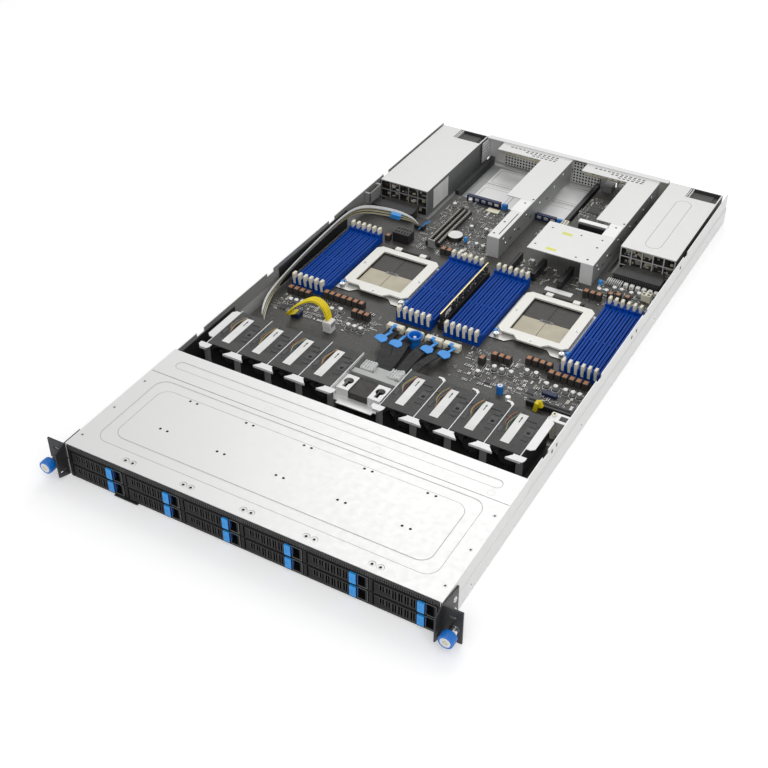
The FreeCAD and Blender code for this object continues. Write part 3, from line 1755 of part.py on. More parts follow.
def make_power_lead():
    """The arched bundle of power wires between two plugs on the board."""
    points = [FreeCAD.Vector(x, behind(SOCKET_Y + offset).number, z) for x, offset, z in POWER_LEAD]
    lead = DOC.addObject("Part::Feature", "power_lead")
    lead.Shape = rounded_tube(points, d.power_cable_radius.number)
    return lead


def make_data_cable(index, plug_x):
    """A flat bundle of data wires from the backplane, through the fan row's gap, to its plug."""
    gather = d.data_cable_gather * (index - 1)
    low = BOARD_TOP + d.data_plug_height / 2
    backplane = d.cage_rear + d.backplane_gauge
    plug = DATA_PLUG_Y - d.data_plug_depth / 2
    route = [
        (gather, backplane, d.data_cable_high),
        (gather, d.bracket_rear, d.data_cable_high),
        (gather + (plug_x - gather) * 0.3, d.board_front + d.data_cable_width, d.data_cable_high),
        (plug_x, plug - d.data_cable_width, low),
        (plug_x, plug, low),
    ]
    half_width, half_thick = d.data_cable_width.number / 2, d.data_cable_thick.number / 2
    sections = []
    for x, y, z in route:
        middle = FreeCAD.Vector(x.number, behind(y).number, z.number)
        corners = []
        for across, up in ((-1, -1), (1, -1), (1, 1), (-1, 1)):
            corners.append(middle + FreeCAD.Vector(across * half_width, 0, up * half_thick))
        sections.append(corners)
    cable = DOC.addObject("Part::Feature", "data_cable")
    cable.Shape = flat_sided_solid(sections)
    return cable


def make_internal_cables():
    cables = [make_power_lead()]
    for index, x in enumerate(data_plug_middles()):
        cables.append(make_data_cable(index, x))
    return group("internal_cables", cables)


def make_all():
    """Every sub-part, in the order in which the machine goes together."""
    nodes = [
        make_chassis(),
        make_rear_panel(),
        make_front_cover(),
        make_fan_bay_cover(),
        make_drive_cage(),
        make_backplane(),
        make_rack_ears(),
        make_thumbscrew("thumbscrew_left", -SCREW_X),
        make_thumbscrew("thumbscrew_right", SCREW_X),
        make_pull_out_tag(),
        make_fan_wall(),
        make_fan_housings(),
        make_centre_bracket(),
        make_motherboard(),
        group("processor_sockets", [
            make_socket("socket_left", d.socket_left_x),
            make_socket("socket_right", d.socket_right_x),
        ]),
        make_socket_frame("socket_frame_left", d.socket_left_x),
        make_socket_frame("socket_frame_right", d.socket_right_x),
        make_memory_sockets(),
        make_memory_latches("memory_latches_front", -1),
        make_memory_latches("memory_latches_rear", 1),
        make_riser("riser_left", d.riser_left_wall, d.riser_foot),
        make_riser("riser_right", d.riser_right_wall, d.shelf_width),
        make_board_parts(),
        make_internal_cables(),
    ]
    return nodes + make_drive_trays() + make_fan_rotors() + make_power_supplies()


def check(nodes):
    """Stop before anything is written if an object failed or a shape is empty or not valid."""
    for item in DOC.Objects:
        if "Invalid" in item.State or "Error" in item.State:
            raise RuntimeError("%s failed: %s" % (item.Name, item.State))
    for node in nodes:
        if node.Shape.isNull() or not node.Shape.isValid() or not node.Shape.Solids:
            raise RuntimeError("%s has no valid solid" % node.Name)


def main():
    nodes = make_all()
    DOC.recompute()
    for node in nodes:
        node.Label = node.Name
    check(nodes)
    os.makedirs("parts", exist_ok=True)
    for node in nodes:
        node.Shape.exportStep(os.path.join("parts", node.Label + ".step"))
    print("%d sub-parts" % len(nodes))


main()
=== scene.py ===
import bmesh
import bpy
import math
import random
from mathutils import Euler, Matrix, Vector


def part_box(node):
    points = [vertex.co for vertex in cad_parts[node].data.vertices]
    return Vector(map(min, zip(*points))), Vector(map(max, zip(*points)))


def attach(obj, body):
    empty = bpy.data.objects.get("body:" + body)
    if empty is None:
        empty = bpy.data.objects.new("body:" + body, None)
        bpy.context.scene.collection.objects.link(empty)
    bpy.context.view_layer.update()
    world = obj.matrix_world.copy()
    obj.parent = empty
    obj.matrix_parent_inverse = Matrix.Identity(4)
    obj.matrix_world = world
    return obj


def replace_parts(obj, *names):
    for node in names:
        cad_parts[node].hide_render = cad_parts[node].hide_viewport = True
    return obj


# A 1U rack server with its rear lid off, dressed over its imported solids.
# Places are in millimetres: X to the right, Y behind the front face of the rack ears, Z up.

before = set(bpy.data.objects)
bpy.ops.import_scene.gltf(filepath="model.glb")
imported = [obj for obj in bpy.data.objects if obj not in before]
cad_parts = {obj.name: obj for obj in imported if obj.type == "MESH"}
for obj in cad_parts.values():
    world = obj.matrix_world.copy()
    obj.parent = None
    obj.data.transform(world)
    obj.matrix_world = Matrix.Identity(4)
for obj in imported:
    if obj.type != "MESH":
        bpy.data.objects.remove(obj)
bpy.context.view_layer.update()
CASE = "case"
MM = 0.001
HALF_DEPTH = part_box("chassis")[1].y / MM


def row(x, y, z):
    """A place in the row frame, in metres."""
    return Vector((x, y - HALF_DEPTH, z)) * MM


def place_of(point):
    """A place in millimetres behind the ears, from a point of the row frame."""
    return Vector((point.x / MM, point.y / MM + HALF_DEPTH, point.z / MM))


def box_of(node):
    """The lowest and highest corner of a node, in millimetres behind the ears."""
    return [place_of(corner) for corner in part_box(node)]


def put(thing, **settings):
    """Set some of a thing's values."""
    for key, value in settings.items():
        setattr(thing, key, value)
    return thing


# Materials


class Paint:
    """Builds one procedural material, node by node."""

    def __init__(self, name):
        self.material = put(bpy.data.materials.new(name), use_nodes=True)
        self.tree = self.material.node_tree
        self.shader = self.tree.nodes["Principled BSDF"]
        self.coords = self.node("ShaderNodeTexCoord", {}).outputs["Object"]

    def give(self, socket, value):
        """Give an input a value, or another node's output."""
        if isinstance(value, bpy.types.NodeSocket):
            self.tree.links.new(value, socket)
        else:
            socket.default_value = (*value, 1) if socket.type == "RGBA" else value

    def node(self, kind, inputs, **settings):
        made = put(self.tree.nodes.new(kind), **settings)
        for key, value in inputs.items():
            self.give(made.inputs[key], value)
        return made

    def noise(self, scale, detail=3.0, stretch=(1, 1, 1)):
        places = self.node("ShaderNodeMapping", {"Vector": self.coords, "Scale": stretch}).outputs["Vector"]
        inputs = {"Vector": places, "Scale": scale, "Detail": detail}
        return self.node("ShaderNodeTexNoise", inputs).outputs["Fac"]

    def cells(self, scale, feature="F1"):
        inputs = {"Vector": self.coords, "Scale": scale}
        return self.node("ShaderNodeTexVoronoi", inputs, feature=feature).outputs["Distance"]

    def between(self, factor, low=0.0, high=1.0, start=0.3, end=0.7):
        """Spread a texture's values from low to high."""
        inputs = {"Value": factor, "From Min": start, "From Max": end, "To Min": low, "To Max": high}
        return self.node("ShaderNodeMapRange", inputs).outputs["Result"]

    def mixed(self, factor, first, second):
        """A colour between two, each a colour or another node's output."""
        inputs = {"Factor": factor, 6: first, 7: second}
        return self.node("ShaderNodeMix", inputs, data_type="RGBA").outputs[2]

    def bump(self, height, strength, distance):
        inputs = {"Height": height, "Strength": strength, "Distance": distance}
        self.feed(Normal=self.node("ShaderNodeBump", inputs).outputs["Normal"])

    def feed(self, **values):
        """Give the shader's inputs values or other nodes' outputs."""
        for key, value in values.items():
            self.give(self.shader.inputs[key.replace("_", " ")], value)


def shade(colour, factor):
    return tuple(min(1.0, part * factor) for part in colour)


def sheet_metal(name, colour, metal=0.45, rough=0.42):
    """Zinc-coated sheet: a very faint cloud, small spangles and a satin gloss."""
    paint = Paint(name)
    tint = paint.mixed(paint.between(paint.noise(9.0, 4.0)), shade(colour, 0.985), shade(colour, 1.01))
    spangle = paint.between(paint.cells(420.0), 0.0, 0.25, 0.0, 1.0)
    gloss = paint.between(paint.noise(140.0, 5.0), rough - 0.04, rough + 0.05)
    paint.feed(Base_Color=paint.mixed(spangle, tint, shade(colour, 0.95)), Roughness=gloss, Metallic=metal)
    paint.bump(paint.noise(900.0, 2.0), 0.03, 0.0002)
    return paint.material


def brushed(name, colour, rough=0.34, metal=0.9):
    """Plated steel with fine drawn lines."""
    paint = Paint(name)
    lines = paint.noise(300.0, 3.0, (1, 12, 1))
    tint = paint.mixed(paint.between(lines), shade(colour, 0.92), colour)
    paint.feed(Base_Color=tint, Roughness=paint.between(lines, rough - 0.06, rough + 0.1), Metallic=metal)
    paint.bump(lines, 0.05, 0.0002)
    return paint.material


def coated(name, colour, rough=0.5, grain=2600.0):
    """Powder coat or moulded plastic with a fine orange-peel grain and rubbed patches."""
    paint = Paint(name)
    worn = paint.between(paint.noise(40.0, 4.0), start=0.35, end=0.75)
    gloss = paint.between(paint.noise(160.0, 3.0), rough - 0.07, rough + 0.07)
    paint.feed(Base_Color=paint.mixed(worn, colour, shade(colour, 1.25)), Roughness=gloss)
    paint.bump(paint.noise(grain, 2.0), 0.12, 0.0002)
    return paint.material


def moulded(name, colour, rough=0.4, shine=0.5):
    """Smooth moulded plastic with a slight change of tone."""
    paint = Paint(name)
    tint = paint.mixed(paint.between(paint.noise(60.0, 2.0)), shade(colour, 0.93), shade(colour, 1.06))
    gloss = paint.between(paint.noise(400.0, 2.0), rough - 0.05, rough + 0.06)
    paint.feed(Base_Color=tint, Roughness=gloss, Specular_IOR_Level=shine)
    paint.bump(paint.noise(1800.0, 1.0), 0.04, 0.0001)
    return paint.material


def board_finish(name, mask, trace):
    """Solder mask with fine routed lines and plated dots."""
    paint = Paint(name)
    routed = paint.between(paint.cells(210.0, "DISTANCE_TO_EDGE"), 1.0, 0.0, 0.012, 0.04)
    patches = paint.between(paint.noise(26.0, 2.0), start=0.45, end=0.6)
    wired = paint.mixed(routed, paint.mixed(patches, shade(mask, 0.88), shade(mask, 1.12)), trace)
    dots = paint.between(paint.cells(420.0), 1.0, 0.0, 0.07, 0.12)
    gloss = paint.between(paint.noise(300.0, 2.0), 0.42, 0.55)
    paint.feed(Base_Color=paint.mixed(dots, wired, shade(trace, 1.6)), Roughness=gloss)
    paint.bump(routed, 0.08, 0.0001)
    return paint.material


def sleeve_finish(name, colour):
    """Woven cable sleeve."""
    paint = Paint(name)
    inputs = {"Vector": paint.coords, "Scale": 420.0, "Distortion": 1.5}
    weave = paint.node("ShaderNodeTexWave", inputs, bands_direction="DIAGONAL").outputs["Fac"]
    tint = paint.mixed(weave, shade(colour, 0.6), shade(colour, 1.5))
    paint.feed(Base_Color=tint, Roughness=paint.between(paint.noise(200.0), 0.5, 0.7))
    paint.bump(weave, 0.25, 0.0003)
    return paint.material


def clear_plastic(name, colour):
    """Milky clear plastic."""
    paint = Paint(name)
    tint = paint.mixed(paint.between(paint.noise(90.0, 2.0)), shade(colour, 0.94), colour)
    gloss = paint.between(paint.noise(300.0), 0.2, 0.32)
    paint.feed(Base_Color=tint, Roughness=gloss, Transmission_Weight=0.2, IOR=1.45)
    return paint.material


ZINC = sheet_metal("zinc_sheet", (0.80, 0.80, 0.795))
ZINC_GREY = sheet_metal("zinc_grey", (0.40, 0.41, 0.40), 0.5, 0.5)
ZINC_DARK = sheet_metal("zinc_dark", (0.21, 0.215, 0.215), 0.4, 0.55)
SUPPLY_ZINC = sheet_metal("supply_sheet", (0.74, 0.74, 0.73), 0.4, 0.46)
WHITE_SHEET = sheet_metal("white_sheet", (0.84, 0.84, 0.84), 0.2, 0.45)
STEEL = brushed("bright_steel", (0.82, 0.81, 0.76), 0.42, 0.3)
CHROME = brushed("chrome", (0.80, 0.80, 0.81), 0.16, 1.0)
GILT = brushed("gilt_bracket", (0.74, 0.70, 0.54), 0.42, 0.5)
GOLD = brushed("gold_plate", (0.80, 0.66, 0.30), 0.3, 0.8)
SILVER = brushed("solder_silver", (0.72, 0.72, 0.72), 0.32, 0.8)
COPPER = brushed("choke_top", (0.44, 0.20, 0.10), 0.5, 0.25)
BLACK_COAT = coated("black_coat", (0.020, 0.020, 0.022), 0.46)
BLACK_PLASTIC = coated("black_plastic", (0.013, 0.013, 0.015), 0.42, 3200.0)
RUBBER = coated("fan_rubber", (0.062, 0.062, 0.061), 0.7)
FAN_BLACK = coated("fan_plastic", (0.022, 0.022, 0.023), 0.5)
FAN_BUMP = coated("fan_moulding", (0.050, 0.050, 0.050), 0.5)
HOLE_BLACK = coated("hole_black", (0.006, 0.006, 0.006), 0.85)
CHIP = coated("chip_black", (0.025, 0.025, 0.026), 0.45)
CHOKE_DARK = coated("choke_body", (0.035, 0.031, 0.028), 0.6)
BOARD = board_finish("board_mask", (0.056, 0.054, 0.049), (0.10, 0.10, 0.09))
BLUE_BUTTON = moulded("button_blue", (0.035, 0.38, 0.95), 0.36)
# Darker blue for the buttons' right-facing sides: painted shade.
BUTTON_SIDE_PAINTED_SHADE = moulded("button_side_painted_shade", (0.004, 0.055, 0.28), 0.4)
BLUE_KNOB = moulded("knob_blue", (0.010, 0.20, 0.70), 0.34)
BLUE_TAB = moulded("tab_blue", (0.045, 0.33, 0.86), 0.45)
MEMORY_BLUE = moulded("memory_blue", (0.001, 0.060, 0.37), 0.5, 0.15)
TRAY_BLACK = moulded("tray_black", (0.009, 0.009, 0.010), 0.5, 0.22)
NAVY = moulded("plug_navy", (0.008, 0.016, 0.065), 0.45)
CREAM = moulded("latch_cream", (0.91, 0.87, 0.71), 0.45)
SOCKET_CREAM = moulded("socket_cover", (0.55, 0.50, 0.38), 0.5)
SOCKET_BROWN = moulded("socket_field", (0.043, 0.037, 0.031), 0.5)
PALE = moulded("pale_label", (0.90, 0.90, 0.89), 0.5)
INK = moulded("label_ink", (0.03, 0.03, 0.03), 0.5)
TAPE = moulded("yellow_tape", (0.84, 0.86, 0.22), 0.5)
YELLOW_WIRE = moulded("wire_yellow", (0.94, 0.75, 0.012), 0.42)
SLEEVE = sleeve_finish("cable_sleeve", (0.016, 0.016, 0.018))
CLEAR = clear_plastic("clear_clip", (0.92, 0.94, 0.93))
WIRES = [
    moulded("wire_%d" % number, colour, 0.45)
    for number, colour in enumerate(
        ((0.16, 0.05, 0.03), (0.42, 0.20, 0.06), (0.50, 0.42, 0.16), (0.07, 0.18, 0.14), (0.03, 0.06, 0.20))
    )
]


# Mesh work

UP = (0, 0, 1)
CORNERS = [(x, y, z) for x in (-1, 1) for y in (-1, 1) for z in (-1, 1)]
CUBE_FACES = ((0, 1, 3, 2), (4, 6, 7, 5), (0, 4, 5, 1), (2, 3, 7, 6), (0, 2, 6, 4), (1, 5, 7, 3))
SHARP_ANGLE = math.radians(32)


def chamfer_faces():
    """Faces of a box with cut edges: corner n has points 3n to 3n + 2, one on each of its sides."""
    faces = [(3 * n, 3 * n + 1, 3 * n + 2) for n in range(8)]
    for axis, (one, two) in enumerate(((1, 2), (0, 2), (0, 1))):
        bits = [4 >> axis, 4 >> one, 4 >> two]
        for side in (0, bits[0]):
            ring = [side, side + bits[1], side + bits[1] + bits[2], side + bits[2]]
            faces.append([3 * n + axis for n in ring])
        for base in (0, bits[1], bits[2], bits[1] + bits[2]):
            far = base + bits[0]
            faces.append((3 * base + one, 3 * far + one, 3 * far + two, 3 * base + two))
    return faces


CHAMFER_FACES = chamfer_faces()


def circle(count):
    """Points round a circle of radius 1."""
    turns = [2 * math.pi * i / count for i in range(count)]
    return [(math.cos(turn), math.sin(turn)) for turn in turns]


def about(middle, width):
    return (middle - width / 2, middle + width / 2)


def spread(count, step):
    """Even shifts to both sides of zero."""
    return [(i - (count - 1) / 2) * step for i in range(count)]


def shifted(outline, x, y):
    return [(x + a, y + b) for a, b in outline]


def drawn_in(outline, distance):
    """An outline in X and Y drawn in by a small distance."""
    points = [Vector(point) for point in outline]
    pairs = list(zip(points, points[1:] + points[:1]))
    way = math.copysign(distance, sum(a.x * b.y - b.x * a.y for a, b in pairs))
    moved = []
    for before, here, after in zip(points[-1:] + points, points, points[1:] + points[:1]):
        edges = [(here - before).normalized(), (after - here).normalized()]
        inward = [Vector((-edge.y, edge.x)) for edge in edges]
        middle = (inward[0] + inward[1]).normalized()
        moved.append(here + middle * way / max(0.5, middle.dot(inward[0])))
    return moved


def rounded(x, y, radius, steps=5):
    """The outline of a rectangle with round corners."""
    points = []
    for side_x, side_y, first in ((1, 0, -90), (1, 1, 0), (0, 1, 90), (0, 0, 180)):
        middle_x = x[side_x] + (-radius if side_x else radius)
        middle_y = y[side_y] + (-radius if side_y else radius)
        for i in range(steps + 1):
            turn = math.radians(first + 90 * i / steps)
            points.append((middle_x + radius * math.cos(turn), middle_y + radius * math.sin(turn)))
    return points


def smooth_line(points):
    """Places along a smooth curve that has the given control points."""
    curve = bpy.data.curves.new("route", "CURVE")
    curve.dimensions = "3D"
    spline = curve.splines.new("NURBS")
    spline.points.add(len(points) - 1)
    for point, place in zip(spline.points, points):
        point.co = (*place, 1)
    spline.order_u = 3
    spline.use_endpoint_u = True
    spline.resolution_u = 5
    thing = bpy.data.objects.new("route", curve)
    mesh = bpy.data.meshes.new_from_object(thing)
    line = [vert.co.copy() for vert in mesh.vertices]
    bpy.data.objects.remove(thing)
    bpy.data.curves.remove(curve)
    bpy.data.meshes.remove(mesh)
    return line


class Piece:
    """Collects simple solids, in millimetres behind the ears, into one object that rides on a body."""

    def __init__(self, name, body=CASE):
        self.name, self.body = name, body
        self.verts, self.faces, self.marks, self.materials = [], [], [], []

    def add(self, verts, faces, material):
        if material not in self.materials:
            self.materials.append(material)
        first = len(self.verts)
        self.verts += verts
        self.faces += [[first + corner for corner in face] for face in faces]
        self.marks += [self.materials.index(material)] * len(faces)

    def loops(self, loops, material, closed=False):
        """Skin over a row of loops of as many points, with ends unless the row is closed."""
        count, total = len(loops[0]), len(loops)
        faces = []
        for near in range(total if closed else total - 1):
            far = (near + 1) % total
            for i in range(count):
                j = (i + 1) % count
                faces.append((near * count + i, near * count + j, far * count + j, far * count + i))
        if not closed:
            faces.append(list(range(count - 1, -1, -1)))
            faces.append(list(range((total - 1) * count, total * count)))
        self.add([point for loop in loops for point in loop], faces, material)

    def box(self, x, y, z, material, bevel=0.0, turn=None):
        """A box between pairs of places, turned about its middle where asked."""
        middle = Vector([(low + high) / 2 for low, high in (x, y, z)])
        half = [(high - low) / 2 for low, high in (x, y, z)]
        cut = min(bevel, 0.45 * min(half))
        points = []
        for signs in CORNERS:
            corner = Vector([sign * size for sign, size in zip(signs, half)])
            if not cut:
                points.append(corner)
                continue
            for axis in range(3):
                shift = [0 if i == axis else -sign * cut for i, sign in enumerate(signs)]
                points.append(corner + Vector(shift))
        if turn:
            spin = turn.to_matrix()
            points = [spin @ point for point in points]
        self.add([middle + point for point in points], CHAMFER_FACES if cut else CUBE_FACES, material)

    def boxes(self, rows, at):
        """Boxes from rows of places along X, Y and Z from an origin, finish and cut edge."""
        for *spans, material, bevel in rows:
            self.box(*[(low + zero, high + zero) for (low, high), zero in zip(spans, at)], material, bevel)

    def turned(self, centre, axis, profile, material, sides=20, closed=False):
        """A profile of radius and rise, turned about an axis through a centre."""
        spin = Vector(axis).to_track_quat("Z", "Y").to_matrix()
        loops = []
        for radius, rise in profile:
            spots = [Vector((radius * a, radius * b, rise)) for a, b in circle(sides)]
            loops.append([Vector(centre) + spin @ spot for spot in spots])
        self.loops(loops, material, closed)

    def rod(self, start, end, radius, material, sides=20, tip=None, bevel=0.0):
        """A cylinder or cone from one place to another."""
        along = Vector(end) - Vector(start)
        tip = radius if tip is None else tip
        profile = [(radius, 0), (tip, along.length - bevel)]
        if bevel:
            profile.append((tip - bevel, along.length))
        self.turned(start, along, profile, material, sides)

    def peg(self, x, y, z, radius, material, sides=20, tip=None, bevel=0.0):
        """An upright rod between two heights."""
        self.rod((x, y, z[0]), (x, y, z[1]), radius, material, sides, tip, bevel)

    def ring(self, centre, axis, outer, inner, length, material, sides=24):
        """A flat ring or short tube about an axis, from its centre along the axis."""
        profile = [(outer, 0), (outer, length), (inner, length), (inner, 0)]
        self.turned(centre, axis, profile, material, sides, closed=True)

    def plate(self, outline, z, material, bevel=0.0):
        """An outline in X and Y, with some height and a cut top edge."""
        levels = [(outline, z[0]), (outline, z[1] - bevel)]
        if bevel:
            levels.append((drawn_in(outline, bevel), z[1]))
        self.loops([[Vector((x, y, level)) for x, y in points] for points, level in levels], material)

    def line(self, outline, width, z, material):
        """A narrow strip along the inside of an outline in X and Y."""
        inner = drawn_in(outline, width)
        levels = [(outline, z[0]), (outline, z[1]), (inner, z[1]), (inner, z[0])]
        self.loops([[Vector((x, y, level)) for x, y in points] for points, level in levels], material, True)

    def tube(self, points, radius, material, sides=8):
        """A round wire on a smooth curve that has the given control points."""
        line = smooth_line(points)
        loops, side = [], None
        for before, here, after in zip([line[0]] + line, line, line[1:] + [line[-1]]):
            along = (after - before).normalized()
            side = along.orthogonal() if side is None else side
            side = (side - along * side.dot(along)).normalized()
            over = along.cross(side)
            loops.append([here + (side * a + over * b) * radius for a, b in circle(sides)])
        self.loops(loops, material)

    def done(self):
        """Make the object, in metres, and let it ride on its body."""
        data = bpy.data.meshes.new(self.name)
        data.from_pydata([row(*point) for point in self.verts], [], self.faces)
        for material in self.materials:
            data.materials.append(material)
        data.polygons.foreach_set("material_index", self.marks)
        data.polygons.foreach_set("use_smooth", [True] * len(self.faces))
        work = bmesh.new()
        work.from_mesh(data)
        bmesh.ops.recalc_face_normals(work, faces=work.faces[:])
        work.to_mesh(data)
        work.free()
        data.set_sharp_from_angle(angle=SHARP_ANGLE)
        thing = bpy.data.objects.new(self.name, data)
        bpy.context.scene.collection.objects.link(thing)
        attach(thing, self.body)
        return thing


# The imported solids

WELD_DISTANCE = 0.00001
FLAT_ANGLE, EDGE_ANGLE = math.radians(1), math.radians(40)
WALL_X = box_of("chassis")[1].x
WALL_INSIDE = WALL_X - 2.7
COVER_TOP = box_of("front_cover")[1].z
FAN_TOP = box_of("fan_housings")[1].z
BOARD_TOP = box_of("motherboard")[1].z
SUPPLY_TOP = box_of("power_supply_left")[1].z
SUPPLY_FRONT = 650.0
RISER_TOP, RISER_SPAN = 40.0, 108.0
RISER_WALLS = {"left": -5.0, "right": 125.0}
TRAYS = range(1, 13)
WIDE = (-250, 250)
PADS = ((-119, 40), (690, 850))


def dress(node, material, rules=(), bevel=0.25):
    """Give a node its finish, other finishes by rule, and small rounded edges."""
    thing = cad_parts[node]
    mesh = thing.data
    mesh.materials.clear()
    for finish in [material] + [finish for _, finish in rules]:
        mesh.materials.append(finish)
    for face in mesh.polygons:
        tests = [test(place_of(face.center), face.normal) for test, _ in rules]
        face.material_index = tests.index(True) + 1 if True in tests else 0
    put(thing.modifiers.new("weld", "WELD"), merge_threshold=WELD_DISTANCE)
    flat = thing.modifiers.new("flat", "DECIMATE")
    put(flat, decimate_type="DISSOLVE", angle_limit=FLAT_ANGLE, delimit={"MATERIAL"})
    edge = thing.modifiers.new("edge", "BEVEL")
    put(edge, width=bevel * MM, segments=2, limit_method="ANGLE", angle_limit=EDGE_ANGLE)
    put(edge, use_clamp_overlap=True, harden_normals=True)


def faces_up(place, normal):
    return normal.z > 0.9


def faces_aside(place, normal):
    return abs(normal.x) > 0.9


def faces_right(place, normal):
    return normal.x > 0.7


def within(x, y, z=(0, 50), test=None):
    """A rule for the faces that lie inside a box, and pass another test where one is given."""

    def rule(place, normal):
        inside = all(low <= value <= high for value, (low, high) in zip(place, (x, y, z)))
        return inside and (test is None or test(place, normal))

    return rule


dress("chassis", ZINC, [
    (within(*PADS, (1.9, 4), faces_up), WHITE_SHEET),
    (within(*PADS, (1.3, 1.9)), ZINC_GREY),
    (within(*PADS, (0, 1.3), faces_up), SUPPLY_ZINC),
    # Painted shade: the floor's upward faces are grey, and the walls' faces are grey on the left and dark on
    # the right.
    (within(WIDE, (0, 850), (0, 4), faces_up), ZINC_GREY),
    (within((-217, -200), (0, 850), (4, 50), faces_aside), ZINC_GREY),
    (within((200, 217), (0, 850), (4, 50), faces_aside), ZINC_DARK),
])
for node in ("front_cover", "fan_bay_cover"):
    dress(node, ZINC)
dress("rear_panel", ZINC, [(within(WIDE, (800, 900), (40, 50)), WHITE_SHEET)])
dress("fan_wall", ZINC, [
    # Painted shade: near-black on the fan bay's low upward faces and right-hand side faces, and grey on the
    # front part's faces that don't face up.
    (within((190, 250), (150, 300), (0, 42), faces_aside), FAN_BUMP),
    (within(WIDE, (150, 300), (0, 30), faces_up), FAN_BUMP),
    (faces_up, WHITE_SHEET),
    (within(WIDE, (150, 217)), ZINC_GREY),
], bevel=0.15)
dress("centre_bracket", ZINC, [
    (within((-13.9, 9.9), (226.4, 253.1), (28.1, 36.5)), CHOKE_DARK),
    (within((-40, 40), (256, 300)), ZINC_GREY),
    (within((-40, 40), (200, 256), (36, 50), faces_up), WHITE_SHEET),
])
dress("drive_cage", BLACK_COAT)
studs = [within(about(x, 10.4), (-9, -0.05), (13, 24)) for x in (-233.2, 233.2)]
dress("rack_ears", BLACK_COAT, [(stud, CHROME) for stud in studs])
for node in ("motherboard", "backplane"):
    dress(node, BOARD, bevel=0.1)
dress("pull_out_tag", FAN_BLACK)
dress("fan_housings", FAN_BLACK, [(within(WIDE, (0, 500), (FAN_TOP - 0.1, 50)), RUBBER)], bevel=0.15)
dress("processor_sockets", FAN_BLACK, [
    (within(WIDE, (400, 600), (0, BOARD_TOP + 1.25), faces_up), STEEL),
    (within(WIDE, (400, 438), (BOARD_TOP + 1.2, 50)), CHROME),
], bevel=0.15)
dress("memory_sockets", MEMORY_BLUE)
for end in ("front", "rear"):
    dress("memory_latches_" + end, CREAM, bevel=0.5)
dress("board_parts", CHOKE_DARK, [
    (within((-54, 22), (379, 389)), CREAM),
    (within((-168, -150), (339, 357)), NAVY),
    (within((-118, -106), (339, 357)), PALE),
    (within((2, 4), (411, 543), (20.6, 34)), CHIP),
    (within((-1, 7), (411, 543)), BLACK_PLASTIC),
    (within((-87, -65), (596, 618), (0, 50), faces_up), PALE),
    (within((40, 125), (821, 839)), ZINC_DARK),
    (within(WIDE, (600, 840)), BLACK_PLASTIC),
])
dress("internal_cables", SLEEVE)
for number in range(1, 9):
    dress("fan_rotor_%d" % number, FAN_BLACK)
for side, wall in RISER_WALLS.items():
    dress("riser_" + side, SUPPLY_ZINC, [
        (within((50, 130), (580, 595)), WHITE_SHEET),
        (within((wall - 6.3, wall - 4.5), (600, 720), (11, 39)), BOARD),
        (within(WIDE, (830, 850), (0, 39.9)), GILT),
        (within(WIDE, (829, 850), (40.1, 50)), WHITE_SHEET),
        (faces_aside, ZINC_GREY),
    ])
    dress("socket_frame_" + side, STEEL, bevel=0.4)
    dress("power_supply_" + side, SUPPLY_ZINC, [
        # Painted shade: the insides of the grille's cells are near-black.
        (within(WIDE, (SUPPLY_FRONT + 0.1, SUPPLY_FRONT + 5.1), (1.6, SUPPLY_TOP - 0.1)), HOLE_BLACK),
        (within(WIDE, (812, 841), (SUPPLY_TOP - 5.1, SUPPLY_TOP - 0.1)), CHIP),
        (within((-250, 0), (SUPPLY_FRONT - 0.1, SUPPLY_FRONT + 0.1)), ZINC_GREY),
        (within(WIDE, (600, SUPPLY_FRONT - 0.1)), BOARD),
        (within(WIDE, (841, 900)), BLACK_PLASTIC),
        (faces_aside, ZINC_DARK),
    ])
    dress("supply_release_" + side, BLUE_BUTTON)
    knob_rear = box_of("thumbscrew_" + side)[0].y + 9.7
    dress("thumbscrew_" + side, CHROME, [(within(WIDE, (-50, knob_rear)), BLUE_KNOB)])
for number in TRAYS:
    dress("drive_tray_%d" % number, TRAY_BLACK)
    button = ((box_of("tray_lever_%d" % number)[1].x - 7.45, 250), (-50, 100))
    dress("tray_lever_%d" % number, TRAY_BLACK, [
        # Painted shade: the button's right-facing faces are a darker blue.
        (within(*button, test=faces_right), BUTTON_SIDE_PAINTED_SHADE),
        (within(*button), BLUE_BUTTON),
    ])


# Front face

SIDES = (("left", -1), ("right", 1))
HOLE_LIFT = 0.03
KNOB_GROOVES = 18
EAR_SCREWS = (12.0, 27.0)
SLOT_COUNT, SLOT_FIRST, SLOT_PITCH, SLOT_WIDTH, SLOT_MARGIN = 6, -24.0, 6.5, 4.6, 1.8
STRIP_RIBS = 180


def side_screw(piece, place, way, head, hole, radii, sides=20):
    """A screw head with a six-sided hole on a wall, each between two distances from the wall."""
    x, y, z = place
    wide, tip, deep = radii
    piece.rod((x + way * head[0], y, z), (x + way * head[1], y, z), wide, CHROME, sides, tip)
    piece.rod((x + way * hole[0], y, z), (x + way * hole[1], y, z), deep, HOLE_BLACK, 6)


